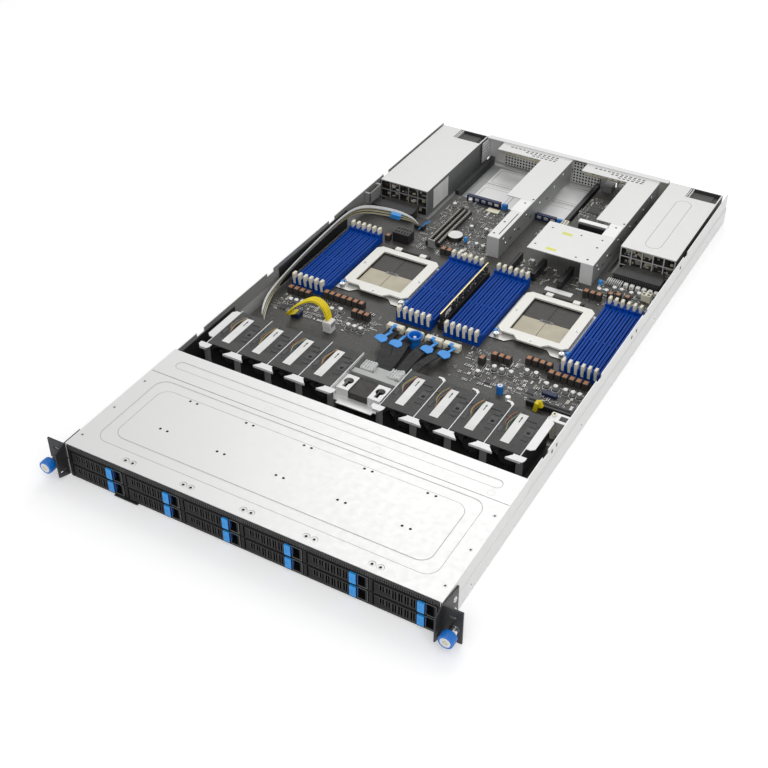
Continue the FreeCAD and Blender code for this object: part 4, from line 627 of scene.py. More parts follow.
def make_ear_details():
    """The knobs' faces and grooves, and the screws on the sides of the ears."""
    for side, sign in SIDES:
        low, high = box_of("thumbscrew_" + side)
        x, z, radius = (low.x + high.x) / 2, (low.z + high.z) / 2, (high.x - low.x) / 2
        knob = Piece("knob_face_" + side, "screw_" + side)
        knob.ring((x, low.y - 0.3, z), (0, 1, 0), radius * 0.72, radius * 0.34, 0.35, PALE)
        knob.rod((x, low.y - 0.15, z), (x, low.y + 0.1, z), radius * 0.34, GILT, 6)
        reach = radius - 0.15
        for a, b in circle(KNOB_GROOVES):
            start, end = [(x + reach * a, low.y + depth, z + reach * b) for depth in (1.2, 8.4)]
            knob.rod(start, end, 0.4, BLUE_KNOB, 6)
        knob.done()

        ear = Piece("ear_screws_" + side)
        plate = sign * (WALL_X + 1.62)
        for height in EAR_SCREWS:
            side_screw(ear, (plate, 25.0, height), sign, (0, 0.9), (0.8, 0.95), (3.1, 2.5, 1.1))
        if side == "left":
            ear.box((-220.85, -219.3), (2.0, 27.0), (37.0, 43.7), BLACK_COAT, 0.2)
        ear.done()


def make_tray_details():
    """Painted highlight lines along the levers' edges, ribs on the levers and buttons, painted highlight
    rims round the trays' fronts, and side screws on the trays.
    """
    for number in TRAYS:
        bay_low, bay_high = box_of("drive_tray_%d" % number)
        low, high = box_of("tray_lever_%d" % number)
        face, right = low.y + 1.2, high.x
        lever = Piece("lever_trim_%d" % number, "lever_%d" % number)
        # Painted highlight: light lines along the lever face's top and bottom edges.
        for z in (low.z + 0.55, high.z - 0.55):
            lever.box((low.x + 1.5, right - 8.2), (face - 0.18, face + 0.1), about(z, 0.5), RUBBER, 0.1)
        for i in range(SLOT_COUNT):
            first = (bay_low.x + bay_high.x) / 2 + SLOT_FIRST + i * SLOT_PITCH
            bar = (low.z + SLOT_MARGIN * (3 if i < 2 else 1) - 0.2, high.z - SLOT_MARGIN + 0.2)
            for x in (first - 0.3, first + SLOT_WIDTH / 2, first + SLOT_WIDTH + 0.3):
                lever.box(about(x, 0.6), (face - 0.15, face + 1.0), bar, RUBBER, 0.1)
        for shift in spread(3, 1.6):
            ridge = about((low.z + high.z) / 2 + shift, 0.7)
            lever.box((right - 6.6, right - 3.6), (low.y - 0.2, low.y + 0.1), ridge, BLUE_BUTTON, 0.15)
        lever.done()

        low, high = bay_low, bay_high
        tray = Piece("tray_trim_%d" % number, "tray_%d" % number)
        # Painted highlight: light rims along the edges of the tray's front.
        rim = (low.y - 0.12, low.y + 0.1)
        for x in (right + 1.0, high.x - 0.9):
            tray.box(about(x, 0.5), rim, (low.z + 0.8, high.z - 0.8), ZINC_DARK)
        for z in (low.z + 1.0, high.z - 1.0):
            tray.box((right + 1.0, high.x - 0.9), rim, about(z, 0.5), ZINC_DARK)
        for i in range(5):
            y = low.y + 22 + i * 17
            tray.rod((low.x + 0.05, y, low.z + 5), (low.x - 0.02, y, low.z + 5), 1.6, SILVER, 12)
        tray.done()


def make_cage_strip():
    """Ribbed strip under the cover's front edge."""
    low, high = box_of("drive_cage")
    strip = Piece("cage_top_strip")
    pitch = (high.x - low.x - 8) / STRIP_RIBS
    face = (low.y - 0.45, low.y + 0.2)
    for i in range(STRIP_RIBS):
        strip.box(about(low.x + 4 + (i + 0.5) * pitch, pitch * 0.55), face, (38.9, 42.3), FAN_BUMP, 0.12)
    for z in ((38.3, 38.9), (42.3, high.z - 0.1)):
        strip.box((low.x + 2, high.x - 2), face, z, BLACK_COAT, 0.15)
    strip.done()


# Covers and walls

COVER_HOLE_COLUMNS = (-143.0, -70.5, 1.5, 73.5, 145.5)
DIMPLE_ROW, COVER_HOLE_ROWS = 12.0, (69.0, 121.0)
HOLE_SPACING = 9.0
RIM_SCREWS = [(x, y) for x in (-212.0, 212.0) for y in (21.5, 73.0, 124.7)]
SEAM_DIMPLES = (-68.0, 65.0, 195.0)
# Half width, ends and corner radius of each line where the covers are pressed; the lines are grey, painted
# shade along the pressed edges.
PRESSED_LINES = (
    (198.6, (23.9, 137.6), 14.6), (185.5, (37.0, 124.5), 14.0), (200.6, (160.4, 173.6), 6.5),
)
WALL_HOOKS = (250.0, 262.0, 480.0, 495.0, 650.0)
WALL_SCREWS = (62.0, 330.0, 560.0, 760.0)


def make_cover_details():
    """Punched holes in pairs, dimples drawn with a painted shade crescent, rim screws, pressed lines drawn
    as painted shade, and the seam between the covers.
    """
    trim = Piece("cover_holes")
    hole = COVER_TOP + HOLE_LIFT
    for middle in COVER_HOLE_COLUMNS:
        for x in about(middle, HOLE_SPACING):
            # Each dimple: a grey ring under a zinc ring set a little forward, which leaves a grey crescent
            # of painted shade on its rear side.
            trim.ring((x, DIMPLE_ROW, COVER_TOP), UP, 4.0, 2.0, HOLE_LIFT, ZINC_GREY)
            trim.ring((x, DIMPLE_ROW - 0.5, COVER_TOP), UP, 3.5, 2.2, HOLE_LIFT * 2, ZINC)
            for y in (DIMPLE_ROW, *COVER_HOLE_ROWS):
                trim.peg(x, y, (COVER_TOP - 0.4, hole), 1.5, HOLE_BLACK, 18)
    for x, y in RIM_SCREWS:
        trim.ring((x, y, COVER_TOP), UP, 2.5, 1.1, HOLE_LIFT, SUPPLY_ZINC)
        trim.peg(x, y, (COVER_TOP - 0.3, hole), 1.1, HOLE_BLACK, 12)
    for x in SEAM_DIMPLES:
        trim.ring((x, 152.0, COVER_TOP - 0.02), UP, 4.4, 3.4, HOLE_LIFT, SUPPLY_ZINC, 28)
    skin = (COVER_TOP - 0.05, COVER_TOP + 0.02)
    # Grey lines along the pressed edges: painted shade.
    for half, y, corner in PRESSED_LINES:
        trim.line(rounded((-half, half), y, corner, 8), 0.6, skin, ZINC_GREY)
    trim.box((-217.0, 217.0), (144.35, 144.95), skin, HOLE_BLACK)
    trim.done()


def make_wall_details():
    """Hooks on the inside of the walls and screw heads on the outside."""
    for side, sign in SIDES:
        trim = Piece("wall_marks_" + side)
        face = sign * WALL_X
        inner = face - sign * 1.35
        for y in WALL_HOOKS:
            slot = sorted((inner - sign * 0.2, inner + sign * 0.35))
            trim.box(slot, about(y, 1.6), (31.0, 35.0), HOLE_BLACK)
            trim.box(sorted((inner, inner + sign * 0.9)), about(y + 1.8, 2.4), (32.0, 35.2), ZINC, 0.3)
        for y in WALL_SCREWS:
            side_screw(trim, (face, y, 11), sign, (-0.1, 0.35), (0.3, 0.4), (3.0, 2.4, 1.1))
        trim.done()


# Fans

FAN_GROUP, FAN_PITCH = 113.6, 41.4
FANS = [sign * FAN_GROUP + shift for sign in (-1, 1) for shift in spread(4, FAN_PITCH)]
FAN_FRONT, FAN_REAR = [corner.y for corner in box_of("fan_housings")]
SADDLE = FAN_TOP - 0.6
# Outlines from the middle of a fan, and from its front or rear end.
FRONT_MOUNT = (
    (-19.4, 0), (19.4, 0), (19.4, 20), (16.4, 20), (14.4, 16), (9.4, 16), (9.4, 12), (-9.4, 12), (-9.4, 16),
    (-14.4, 16), (-16.4, 21), (-19.4, 21),
)
REAR_MOUNT = (
    (-19.4, -20), (-16.4, -20), (-14.4, -14), (-10.4, -14), (-10.4, -11), (10.4, -11), (10.4, -15),
    (14.4, -15), (16.4, -20), (19.4, -20), (19.4, 0), (-19.4, 0),
)
ARROW = ((-4.3, 53), (-1.8, 53), (-3.05, 57))
# Mouldings, label and plug, from the middle of a fan, its front end and its saddle.
FAN_BOXES = (
    ((8.4, 17.4), (30, 43), (0, 0.35), FAN_BUMP, 0.2),
    ((10.9, 14.9), (33, 37), (0, 0.5), HOLE_BLACK, 0.1),
    ((-18.4, -14.4), (24, 34), (0, 0.4), FAN_BUMP, 0.2),
    ((9.4, 16.4), (22, 25), (0, 0.5), RUBBER, 0.2),
    ((9.4, 16.4), (46, 49), (0, 0.5), RUBBER, 0.2),
    ((-8.2, 2.0), (10, 61), (0, 0.8), PALE, 0.1),
    ((-3.6, -2.5), (46, 54), (0.79, 0.83), INK, 0),
    ((-12.5, -5.5), (62.5, 66), (0, 1.2), CHIP, 0.2),
)
HOOK = ((-0.6, 286), (0.6, 286), (0.6, 291), (-3, 294), (-9, 294), (-9, 292), (-4, 291))
STANDOFF = (200.0, 296.0)


def make_fan_tops():
    """Rubber mounts, label, mouldings and lead of each fan."""
    tops = Piece("fan_tops")
    dice = random.Random(3)
    for x in FANS:
        for outline, end in ((FRONT_MOUNT, FAN_FRONT), (REAR_MOUNT, FAN_REAR)):
            tops.plate(shifted(outline, x, end), (SADDLE, FAN_TOP + 0.06), RUBBER, 0.2)
        tops.boxes(FAN_BOXES, (x, FAN_FRONT, SADDLE))
        tops.plate(shifted(ARROW, x, FAN_FRONT), (FAN_TOP + 0.19, FAN_TOP + 0.23), INK)
        for i, wire in enumerate(dice.sample(WIRES, len(WIRES))):
            shift, stray = (i - 2) * 1.3, dice.uniform(-0.8, 0.8)
            points = (
                (-10 + shift * 0.3, 33 - i * 1.6, 0), (-13.5 + shift + stray, 38 - stray, 1.3),
                (-13.0 + shift, 47 + stray * 2, 1.6), (-10.4 + shift * 0.8 - stray, 57, 1.3),
                (-8.8 + shift * 0.7, 64, 0.4),
            )
            tops.tube([(x + a, FAN_FRONT + b, SADDLE + c) for a, b, c in points], 0.45, wire, 6)
    tops.done()


def make_fan_hooks():
    """Hooks at the rear ends of the right-hand dividers, wide front tabs, and the right standoff."""
    hooks = Piece("fan_wall_hooks")
    low, high = box_of("fan_wall")
    front, top = low.y, high.z
    for shift in spread(3, FAN_PITCH):
        x = FAN_GROUP + shift
        hooks.plate(shifted(HOOK, x, 0), (top - 1.4, top - 0.4), WHITE_SHEET, 0.2)
        # The hooks' posts are grey: painted shade.
        hooks.box((x - 9, x - 7.6), (292.2, 293.8), (BOARD_TOP, top - 0.6), ZINC_GREY, 0.2)
    for sign in (-1, 1):
        for i, shift in enumerate(spread(5, FAN_PITCH)):
            x = sign * FAN_GROUP + shift
            left, right = (-13.3 if i else -4.0), (13.3 if 0 < i < 4 else 4.0)
            outline = ((left, 0), (right, 0), (right * 0.6, 6.5), (left * 0.6, 6.5))
            hooks.plate(shifted(outline, x, front), (top - 1.0, top + 0.03), WHITE_SHEET, 0.2)
            lip = (front - 0.03, front + 1.0)
            hooks.box((x + left, x + right), lip, (top - 3.0, top - 0.2), WHITE_SHEET, 0.2)
    hooks.box((196.5, WALL_INSIDE), (286.0, 301.0), (top - 2.4, top - 1.2), WHITE_SHEET, 0.3)
    hooks.box((WALL_INSIDE - 9, WALL_INSIDE - 1), (290.0, 297.0), (top - 1.3, top - 0.6), CHIP, 0.5)
    hooks.peg(*STANDOFF, (BOARD_TOP, top + 0.4), 3.0, CREAM)
    hooks.peg(*STANDOFF, (top + 0.3, top + 0.45), 1.3, HOLE_BLACK, 12)
    hooks.done()


def make_bracket_details():
    """Dark wells, rivets, bars and clear clips of the bracket between the fan groups."""
    low, high = box_of("centre_bracket")
    floor = low.z + 1.2
    trim = Piece("bracket_trim")
    for x in (-22.0, 18.0):
        trim.box(about(x, 13.0), (231.0, 254.0), (floor, floor + 0.3), HOLE_BLACK, 0.1)
    for x in (-19.0, -15.0, 15.0, 19.0):
        trim.rod((x, 258.1, 34.0), (x, 257.7, 34.0), 1.1, ZINC_DARK, 12)
    trim.box((low.x + 1.4, high.x - 0.4), (258.2, 266.0), (high.z - 0.9, high.z + 0.1), ZINC_GREY, 0.2)
    trim.box((low.x + 0.2, low.x + 1.2), (257.0, high.y), (floor, high.z + 2.6), ZINC_GREY, 0.2)
    trim.done()

    clips = Piece("bracket_clips")
    for x, lean in ((-16.0, -0.1), (19.0, -0.4)):
        tilt = Euler((0.0, lean, 0.0))
        clips.box(about(x, 15.0), (268.0, 284.0), (37.0, 38.4), CLEAR, 0.4, tilt)
        for shift in spread(5, 3.3):
            clips.box(about(x + shift, 1.1), (268.4, 283.6), (36.5, 40.6), CLEAR, 0.3, tilt)
        for y in (268.2, 275.6, 283.0):
            clips.box(about(x, 14.6), about(y, 0.9), (36.5, 40.0), CLEAR, 0.3, tilt)
        clips.box(about(x, 5.0), (270.0, 282.0), (floor, 38.0), CLEAR, 0.4)
    clips.box((-8.0, 11.0), (268.5, 282.0), (floor, 36.0), ZINC_GREY, 0.3)
    clips.done()


# Cables

YELLOW_ROUTE = (
    (-162, 350, 17.1), (-168, 335, 20), (-154, 342, 36), (-137, 356, 43), (-113, 348, 36), (-112, 345, 17.1),
)
YELLOW_LAYERS, YELLOW_ROWS, WIRE_STEP = 2, 5, 1.95
PLUG_TOP = BOARD_TOP + 7
# Each data cable's plug, place at the fan wall, number of cores, and place and turn of its pull tab.
DATA_CABLES = (
    (-42.0, -20.0, 8, (-40.0, 347.0, 0.25)), (-16.0, -8.0, 8, (-20.0, 346.0, 0.1)),
    (10.0, 9.0, 8, (17.0, 354.0, 0.25)), (34.0, 21.0, 6, (39.0, 355.0, 0.3)),
)
EXTRA_PLUG = DATA_CABLES[-1][0]
PULL_TAB = (
    (-6, -5), (5, -6), (7, -1), (4.5, 3.5), (1.6, 4.5), (1.6, 14), (-1.4, 14), (-1.4, 4.8), (-5.5, 3.5),
    (-7, 0),
)
# Lid, tab root and spring of a plug, from its middle and its top.
PLUG_BOXES = (
    ((-10.5, 10.5), (380.4, 387.6), (-0.2, 1.2), CREAM, 0.4),
    ((-2.2, 2.2), (377.5, 384.0), (1.0, 2.6), BLUE_TAB, 0.3),
    ((-4.0, 4.0), (379.6, 380.6), (-2.5, 1.8), SILVER, 0.2),
)
CABLE_RING = (-7.0, 367.0)
RING_CUP = ((6.4, 0), (7.4, 4.5), (9.0, 6.4), (9.4, 8.4), (8.8, 9.2), (7.0, 8.8), (5.6, 1.0), (5.0, 0.4))


def make_cables():
    """Yellow lead of ten wires and the flat black data cables, each a row of cores."""
    leads = Piece("cable_set")
    for rise in spread(YELLOW_LAYERS, 2.1):
        for shift in spread(YELLOW_ROWS, WIRE_STEP):
            points = [
                (x + rise * (0.3 if z > 40 else 1.0), y + shift * 1.1, z + (rise if z > 18 else 0.0))
                for x, y, z in YELLOW_ROUTE
            ]
            leads.tube(points, 0.82, YELLOW_WIRE)
    leads.box((-118.0, -106.0), (338.6, 351.4), (PLUG_TOP, PLUG_TOP + 8.0), PALE, 0.8)
    for shift in spread(YELLOW_ROWS, WIRE_STEP):
        leads.box((-106.1, -105.8), about(345 + shift, 0.9), (PLUG_TOP + 1, PLUG_TOP + 6.6), RUBBER)

    for plug, meet, cores, _ in DATA_CABLES:
        for shift in spread(cores, 1.9):
            end = meet + shift * 0.75
            points = [
                (plug + shift, 380, BOARD_TOP + 3.4), (plug + shift, 371, BOARD_TOP + 4.4),
                (plug * 0.75 + meet * 0.25 + shift * 0.95, 352, 22.6), (meet + shift * 0.85, 322, 22.4),
                (end, 290, 19.0), (end, 240, 15.0), (end, 180, 14.4), (end, 131, 14.4),
            ]
            leads.tube(points, 1.05, SLEEVE, 6)
    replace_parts(leads.done(), "internal_cables")


def make_pull_tabs():
    """Cream plugs with blue pull tabs on straps, and the blue ring that holds the cables down."""
    tabs = Piece("pull_tabs")
    tabs.box(about(EXTRA_PLUG, 21.0), (379.6, 388.4), (BOARD_TOP, PLUG_TOP), CREAM, 0.4)
    for plug, _, _, (x, y, turn) in DATA_CABLES:
        spin = Matrix.Rotation(-turn, 2)
        placed = [spin @ Vector(corner) * 1.2 + Vector((x, y)) for corner in PULL_TAB]
        tabs.plate(placed, (23.6, 24.4), BLUE_TAB, 0.25)
        end = spin @ Vector((0, 13)) + Vector((x, y))
        strap = [(end.x, end.y, 23.9), ((end.x + plug) / 2, end.y + 6, 23), (plug, 379, PLUG_TOP + 2.4)]
        tabs.tube(strap, 1.3, BLUE_TAB)
        tabs.boxes(PLUG_BOXES, (plug, 0, PLUG_TOP))
    tabs.done()

    ring = Piece("cable_ring")
    base = BOARD_TOP + 8
    ring.peg(*CABLE_RING, (BOARD_TOP, base + 0.6), 6.4, BLUE_KNOB, 32)
    ring.turned((*CABLE_RING, base), UP, RING_CUP, BLUE_KNOB, 32, closed=True)
    ring.peg(*CABLE_RING, (base, base + 5), 2.6, BLUE_KNOB, 20, 2.2)
    ring.peg(*CABLE_RING, (base + 4.8, base + 6.2), 1.7, PALE, 16)
    ring.done()


# Board

CAPACITORS = (
    (-184, 372), (-176.5, 373), (-168.5, 374), (-129, 379), (-119, 383.5), (-107, 383.5), (-94.4, 360.5),
    (-86, 360.8), (-77.4, 360.4), (81.6, 355), (94.3, 372.3), (104.2, 371.3), (115.4, 372.7), (130, 384.4),
    (141.2, 384.8), (159.3, 373), (170.4, 373), (182.6, 372.5), (191.5, 372.6), (199.6, 372.7),
    (139.2, 581), (148, 582.6), (154.8, 593), (164, 593.4), (177, 592.6), (186, 596), (-45, 566), (-50, 575),
    (-46, 640), (-66.8, 637), (-31.4, 599.7), (-41.5, 601), (40, 600), (-100, 700), (-114, 680),
)
# Place and size of each chip.
CHIPS = (
    (-186, 358, 9), (-128, 366, 7), (148, 356, 9), (98, 348, 7), (-70, 650, 8), (-60, 596, 7), (58, 765, 17),
    (78, 740, 9), (94, 784, 8), (60, 586, 9), (190, 575, 7), (-188, 576, 9), (-172, 566, 7),
)
# Areas of the board with small parts, and how many rows each has.
SMALL_PART_AREAS = (
    ((-203, -70), (352, 400), 190), ((50, 208), (338, 400), 240), ((-60, 60), (392, 402), 20),
    ((-122, -20), (558, 702), 420), ((14, 112), (560, 604), 110), ((128, 208), (555, 612), 130),
    ((42, 108), (716, 800), 150), ((14, 112), (660, 700), 90),
)
MEMORY_AREAS = ((-204, -154), (-54, 62), (160, 210))


def board_islands():
    """Rectangles on the board that larger parts take up, and their tops, one for each loose part."""
    work = bmesh.new()
    work.from_mesh(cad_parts["board_parts"].data)
    bmesh.ops.remove_doubles(work, verts=work.verts[:], dist=WELD_DISTANCE)
    seen, islands = set(), []
    for vert in work.verts:
        if vert in seen:
            continue
        group, queue = [], [vert]
        seen.add(vert)
        while queue:
            here = queue.pop()
            group.append(place_of(here.co))
            for edge in here.link_edges:
                other = edge.other_vert(here)
                if other not in seen:
                    seen.add(other)
                    queue.append(other)
        x, y = [point.x for point in group], [point.y for point in group]
        islands.append(((min(x), max(x), min(y), max(y)), max(point.z for point in group)))
    work.free()
    return islands


class Ground:
    """Keeps count, in squares of one millimetre, of the board that is taken."""

    def __init__(self):
        self.taken = set()

    def squares(self, left, right, near, far):
        across = range(math.floor(left), math.ceil(right))
        return {(x, y) for x in across for y in range(math.floor(near), math.ceil(far))}

    def take(self, left, right, near, far):
        self.taken |= self.squares(left, right, near, far)

    def take_if_free(self, x, y, half_x, half_y):
        wanted = self.squares(x - half_x, x + half_x, y - half_y, y + half_y)
        free = not wanted & self.taken
        if free:
            self.taken |= wanted
        return free


def above(low, high):
    """Heights above the board."""
    return (BOARD_TOP + low, BOARD_TOP + high)


def make_chokes(ground):
    """Copper tops of the chokes. The larger parts' ground is taken on the way."""
    copper = Piece("choke_tops")
    for island, top in board_islands():
        ground.take(*island)
        left, right, near, far = island
        if 6 < right - left < 8 and 8 < far - near < 9:
            copper.box((left + 0.9, right - 1.3), (near + 0.9, far - 1.6), (top - 0.1, top + 0.05), COPPER)
    copper.done()
    for node in ("socket_frame_left", "socket_frame_right", "power_supply_left", "power_supply_right"):
        low, high = box_of(node)
        ground.take(low.x - 5, high.x + 5, low.y - 5, high.y)
    for left, right in MEMORY_AREAS:
        ground.take(left, right, 402, 552)


def make_capacitors(ground):
    caps = Piece("board_capacitors")
    for x, y in CAPACITORS:
        if ground.take_if_free(x, y, 3.4, 3.4):
            caps.box(about(x, 6.4), about(y, 6.4), above(0, 0.9), CHIP, 0.2)
            caps.peg(x, y, above(0.8, 6.6), 2.95, SILVER, bevel=0.4)
            caps.peg(x, y, above(6.5, 6.75), 2.4, PALE)
            caps.ring((x, y, BOARD_TOP), UP, 4.6, 4.2, 0.04, PALE)
    caps.done()


def make_chips(ground):
    chips = Piece("board_chips")
    for x, y, size in CHIPS:
        if not ground.take_if_free(x, y, size / 2 + 1.2, size / 2 + 1.2):
            continue
        chips.box(about(x, size), about(y, size), above(0.15, 1.6), CHIP, 0.2)
        for shift in spread(int(size / 1.3), 1.2):
            for edge in about(0, size + 1.0):
                chips.box(about(x + edge, 1.0), about(y + shift, 0.5), above(0, 0.5), SILVER)
                chips.box(about(x + shift, 0.5), about(y + edge, 1.0), above(0, 0.5), SILVER)
    chips.done()


def make_small_parts(ground):
    """Small soldered parts in short rows, each a body between two silver ends."""
    dice = random.Random(7)
    bits = Piece("board_small_parts")
    bodies = (CHIP, CHIP, SOCKET_CREAM, CHOKE_DARK, PALE)
    for across, along, rows in SMALL_PART_AREAS:
        for _ in range(rows):
            x, y = dice.uniform(*across), dice.uniform(*along)
            length, body = dice.choice((1.2, 1.6, 1.6, 2.0, 3.0)), dice.choice(bodies)
            lies_along = dice.random() < 0.5
            width, tall = length * 0.52, min(1.2, length * 0.36)
            for i in range(dice.randint(2, 6)):
                step = i * (width + 0.9)
                place = (x + step, y) if lies_along else (x, y + step)
                half = (width / 2, length / 2) if lies_along else (length / 2, width / 2)
                if not ground.take_if_free(*place, *half):
                    continue
                sections = ((-1, 0.22, 1, SILVER), (0, 0.56, 0.96, body), (1, 0.22, 1, SILVER))
                for part, share, lift, finish in sections:
                    spans = [about(place[0], width), about(place[1], width)]
                    spans[lies_along] = about(place[lies_along] + part * length * 0.39, length * share)
                    bits.box(*spans, above(0, tall * lift), finish)
    bits.done()


# Boxes that stand on the board, with their heights above it.
FITTINGS = (
    ((152, 206), (332, 341), (0, 7), BLACK_PLASTIC, 0.5),
    ((154, 204), (335, 338), (6.9, 7.1), HOLE_BLACK, 0),
    ((160, 178), (357, 364), (0, 4), NAVY, 0.5), ((190.5, 202.5), (589, 600), (0, 10), CREAM, 0.6),
    ((42, 51), (678, 692), (0, 20), CREAM, 0.6), ((40.9, 42.1), (682.5, 687.5), (6, 18), CREAM, 0.4),
    ((-146, -122), (560, 577), (0, 14), BLACK_PLASTIC, 0.6),
    ((-145, -123), (561, 576), (13.9, 14.2), FAN_BUMP, 0.1),
    ((-98, -88), (570, 571.6), (0, 12), ZINC_GREY, 0.3), ((77, 113), (552.5, 561), (0, 1), PALE, 0.1),
    ((-55, -47), (706, 710.5), (0, 8), BLUE_KNOB, 0.4), ((27, 35), (706, 710.5), (0, 8), BLUE_KNOB, 0.4),
    ((-108, -57), (704.5, 710.5), (0, 9), NAVY, 0.4), ((-4, 26), (704.5, 710.5), (0, 9), NAVY, 0.4),
    ((-62, -58), (604, 608), (0, 7), BLUE_TAB, 0.6),
    ((131.75, 136.25), (595.75, 600.25), (0, 7), BLUE_TAB, 0.6),
    ((-103.5, -98.5), (574, 678), (0, 6), BLACK_PLASTIC, 0.3),
    ((-96, -91), (575, 675), (0, 6), BLACK_PLASTIC, 0.3),
    ((-88.5, -83.5), (576, 672), (0, 6), BLACK_PLASTIC, 0.3), ((-71, -53), (690, 700), (0, 1.8), GILT, 0.2),
)
STRIP_PINS = [580 + i * 4.2 for i in range(22)]
# Rows of small boxes: places along X and Y, width, length, heights above the board, finish and cut edge.
FITTING_ROWS = (
    ((193.5, 199.5), (591.8, 597.2), 3.2, 3.2, (9.9, 10.1), SOCKET_BROWN, 0),
    ((44.6, 48.4), (681.5, 685.0, 688.5), 2.2, 2.2, (19.9, 20.1), SOCKET_BROWN, 0),
    ((-142.4, -138.2, -134, -129.8, -125.6), (564.8, 572.2), 2.8, 5.0, (14, 14.3), HOLE_BLACK, 0),
    (range(164, 205, 8), (608.5,), 5.4, 6.0, (0, 5.5), PALE, 0.5),
    (range(164, 205, 8), (605.95,), 3.0, 1.3, (1.5, 4.5), SOCKET_CREAM, 0.2),
    ((-102, -92, -82, -72, -62, 2, 12, 22), (704.7,), 6.0, 1.6, (3, 7), SILVER, 0.3),
    ((21.25, 55.25, 92.25), (584,), 6.5, 40, (0, 11), BLACK_PLASTIC, 0.4),
    ((21.25, 55.25, 92.25), (584,), 1.3, 36, (10.9, 11.1), HOLE_BLACK, 0),
    ((-101, -93.5, -86), STRIP_PINS, 7.0, 1.1, (0, 1), SILVER, 0),
    ((-101, -93.5, -86), STRIP_PINS, 1.6, 2.6, (5.9, 6.2), SOCKET_CREAM, 0),
)
EXTRA_CHOKES = ((-152, 560), (156, 576.5), (165.3, 579), (177, 579.5))


def make_board_fittings():
    """Connectors, fuses, jumpers, bare plates and posts that stand on the board."""
    fit = Piece("board_fittings")
    fit.peg(118, 337, above(0, 11), 4.0, BLUE_KNOB, 24, bevel=0.5)
    fit.ring((118, 337, BOARD_TOP + 10.9), UP, 3.0, 1.2, 0.5, PALE)
    fit.peg(132, 329, above(0, 6), 3.4, PALE, 6)
    fit.peg(132, 329, above(5.9, 6.2), 2.0, SILVER, 12)
    fit.boxes(FITTINGS, (0, 0, BOARD_TOP))
    for across, along, width, length, z, finish, bevel in FITTING_ROWS:
        for x in across:
            for y in along:
                fit.box(about(x, width), about(y, length), above(*z), finish, bevel)
    for x, y in EXTRA_CHOKES:
        fit.box(about(x, 7.0), about(y, 8.0), above(0, 8), CHOKE_DARK, 0.4)
        fit.box(about(x, 4.6), about(y, 5.4), above(7.9, 8.05), COPPER)
    fit.box((164, 169), (325, 332.2), above(0, 14), YELLOW_WIRE, 0.8, Euler((0.1, 0.2, 0.0)))
    fit.box((168, 173), (327, 332), above(6, 15), YELLOW_WIRE, 0.8, Euler((0.0, -0.4, 0.0)))
    for i in range(8):
        fit.box(about(140 + i * 2.6, 1.1), (603.5, 611.5), above(0, 6.5), PALE, 0.2, Euler((0.0, 0.25, 0.0)))
    fit.done()

    slots = Piece("supply_socket_pins")
    for first in (-207.6, 145.4):
        for i in range(23):
            x = first + i * 2.6
            slots.box(about(x, 1.2), (612.9, 614.2), above(1.2, 10.6), FAN_BUMP, 0.15)
            slots.box(about(x, 0.8), (615.5, 630.5), above(11.8, 12.3), FAN_BUMP, 0.1)
    slots.done()


# Memory and processors

MEMORY_BANKS, MEMORY_PITCH = (-179.0, -29.0, 35.0, 185.0), 8.0
CARD_FACE = 3.8
SOCKET_MIDDLE, FIELD_HALF = 485.0, 36.0
FRAME_SCREWS = ((-41, 2), (41, -4), (0, -48.5))


def make_memory_details():
    """Keys and contact strips in the memory sockets, and the parts of the centre card."""
    keys = Piece("memory_keys")
    for bank in MEMORY_BANKS:
        for shift in spread(6, MEMORY_PITCH):
            keys.box(about(bank + shift, 7.0), about(470.0, 2.4), above(8.4, 10.5), MEMORY_BLUE, 0.2)
            for y in (425.0, 529.0):
                keys.box(about(bank + shift, 0.5), about(y, 34.0), above(4.8, 5.4), GOLD)
    keys.done()

    card = Piece("centre_card_parts")
    card.box((2.15, 3.85), (412.0, 542.0), (32.6, 33.12), GOLD, 0.1)
    card.box((CARD_FACE, CARD_FACE + 0.15), (424, 438), (23.0, 28.5), PALE)
    dice = random.Random(11)
    for _ in range(70):
        y, z = dice.uniform(414, 539), dice.uniform(21.5, 31.5)
        size = dice.choice((1.2, 1.6, 2.4))
        finish = dice.choice((CHIP, SILVER, SOCKET_CREAM))
        card.box((CARD_FACE - 0.05, CARD_FACE + 0.7), about(y, size), about(z, size * 0.55), finish)
    for y in (417, 446, 462, 478, 510):
        card.box((CARD_FACE - 0.05, CARD_FACE + 1.2), about(y, 7.5), (22.6, 29.6), CHIP, 0.2)
    card.done()


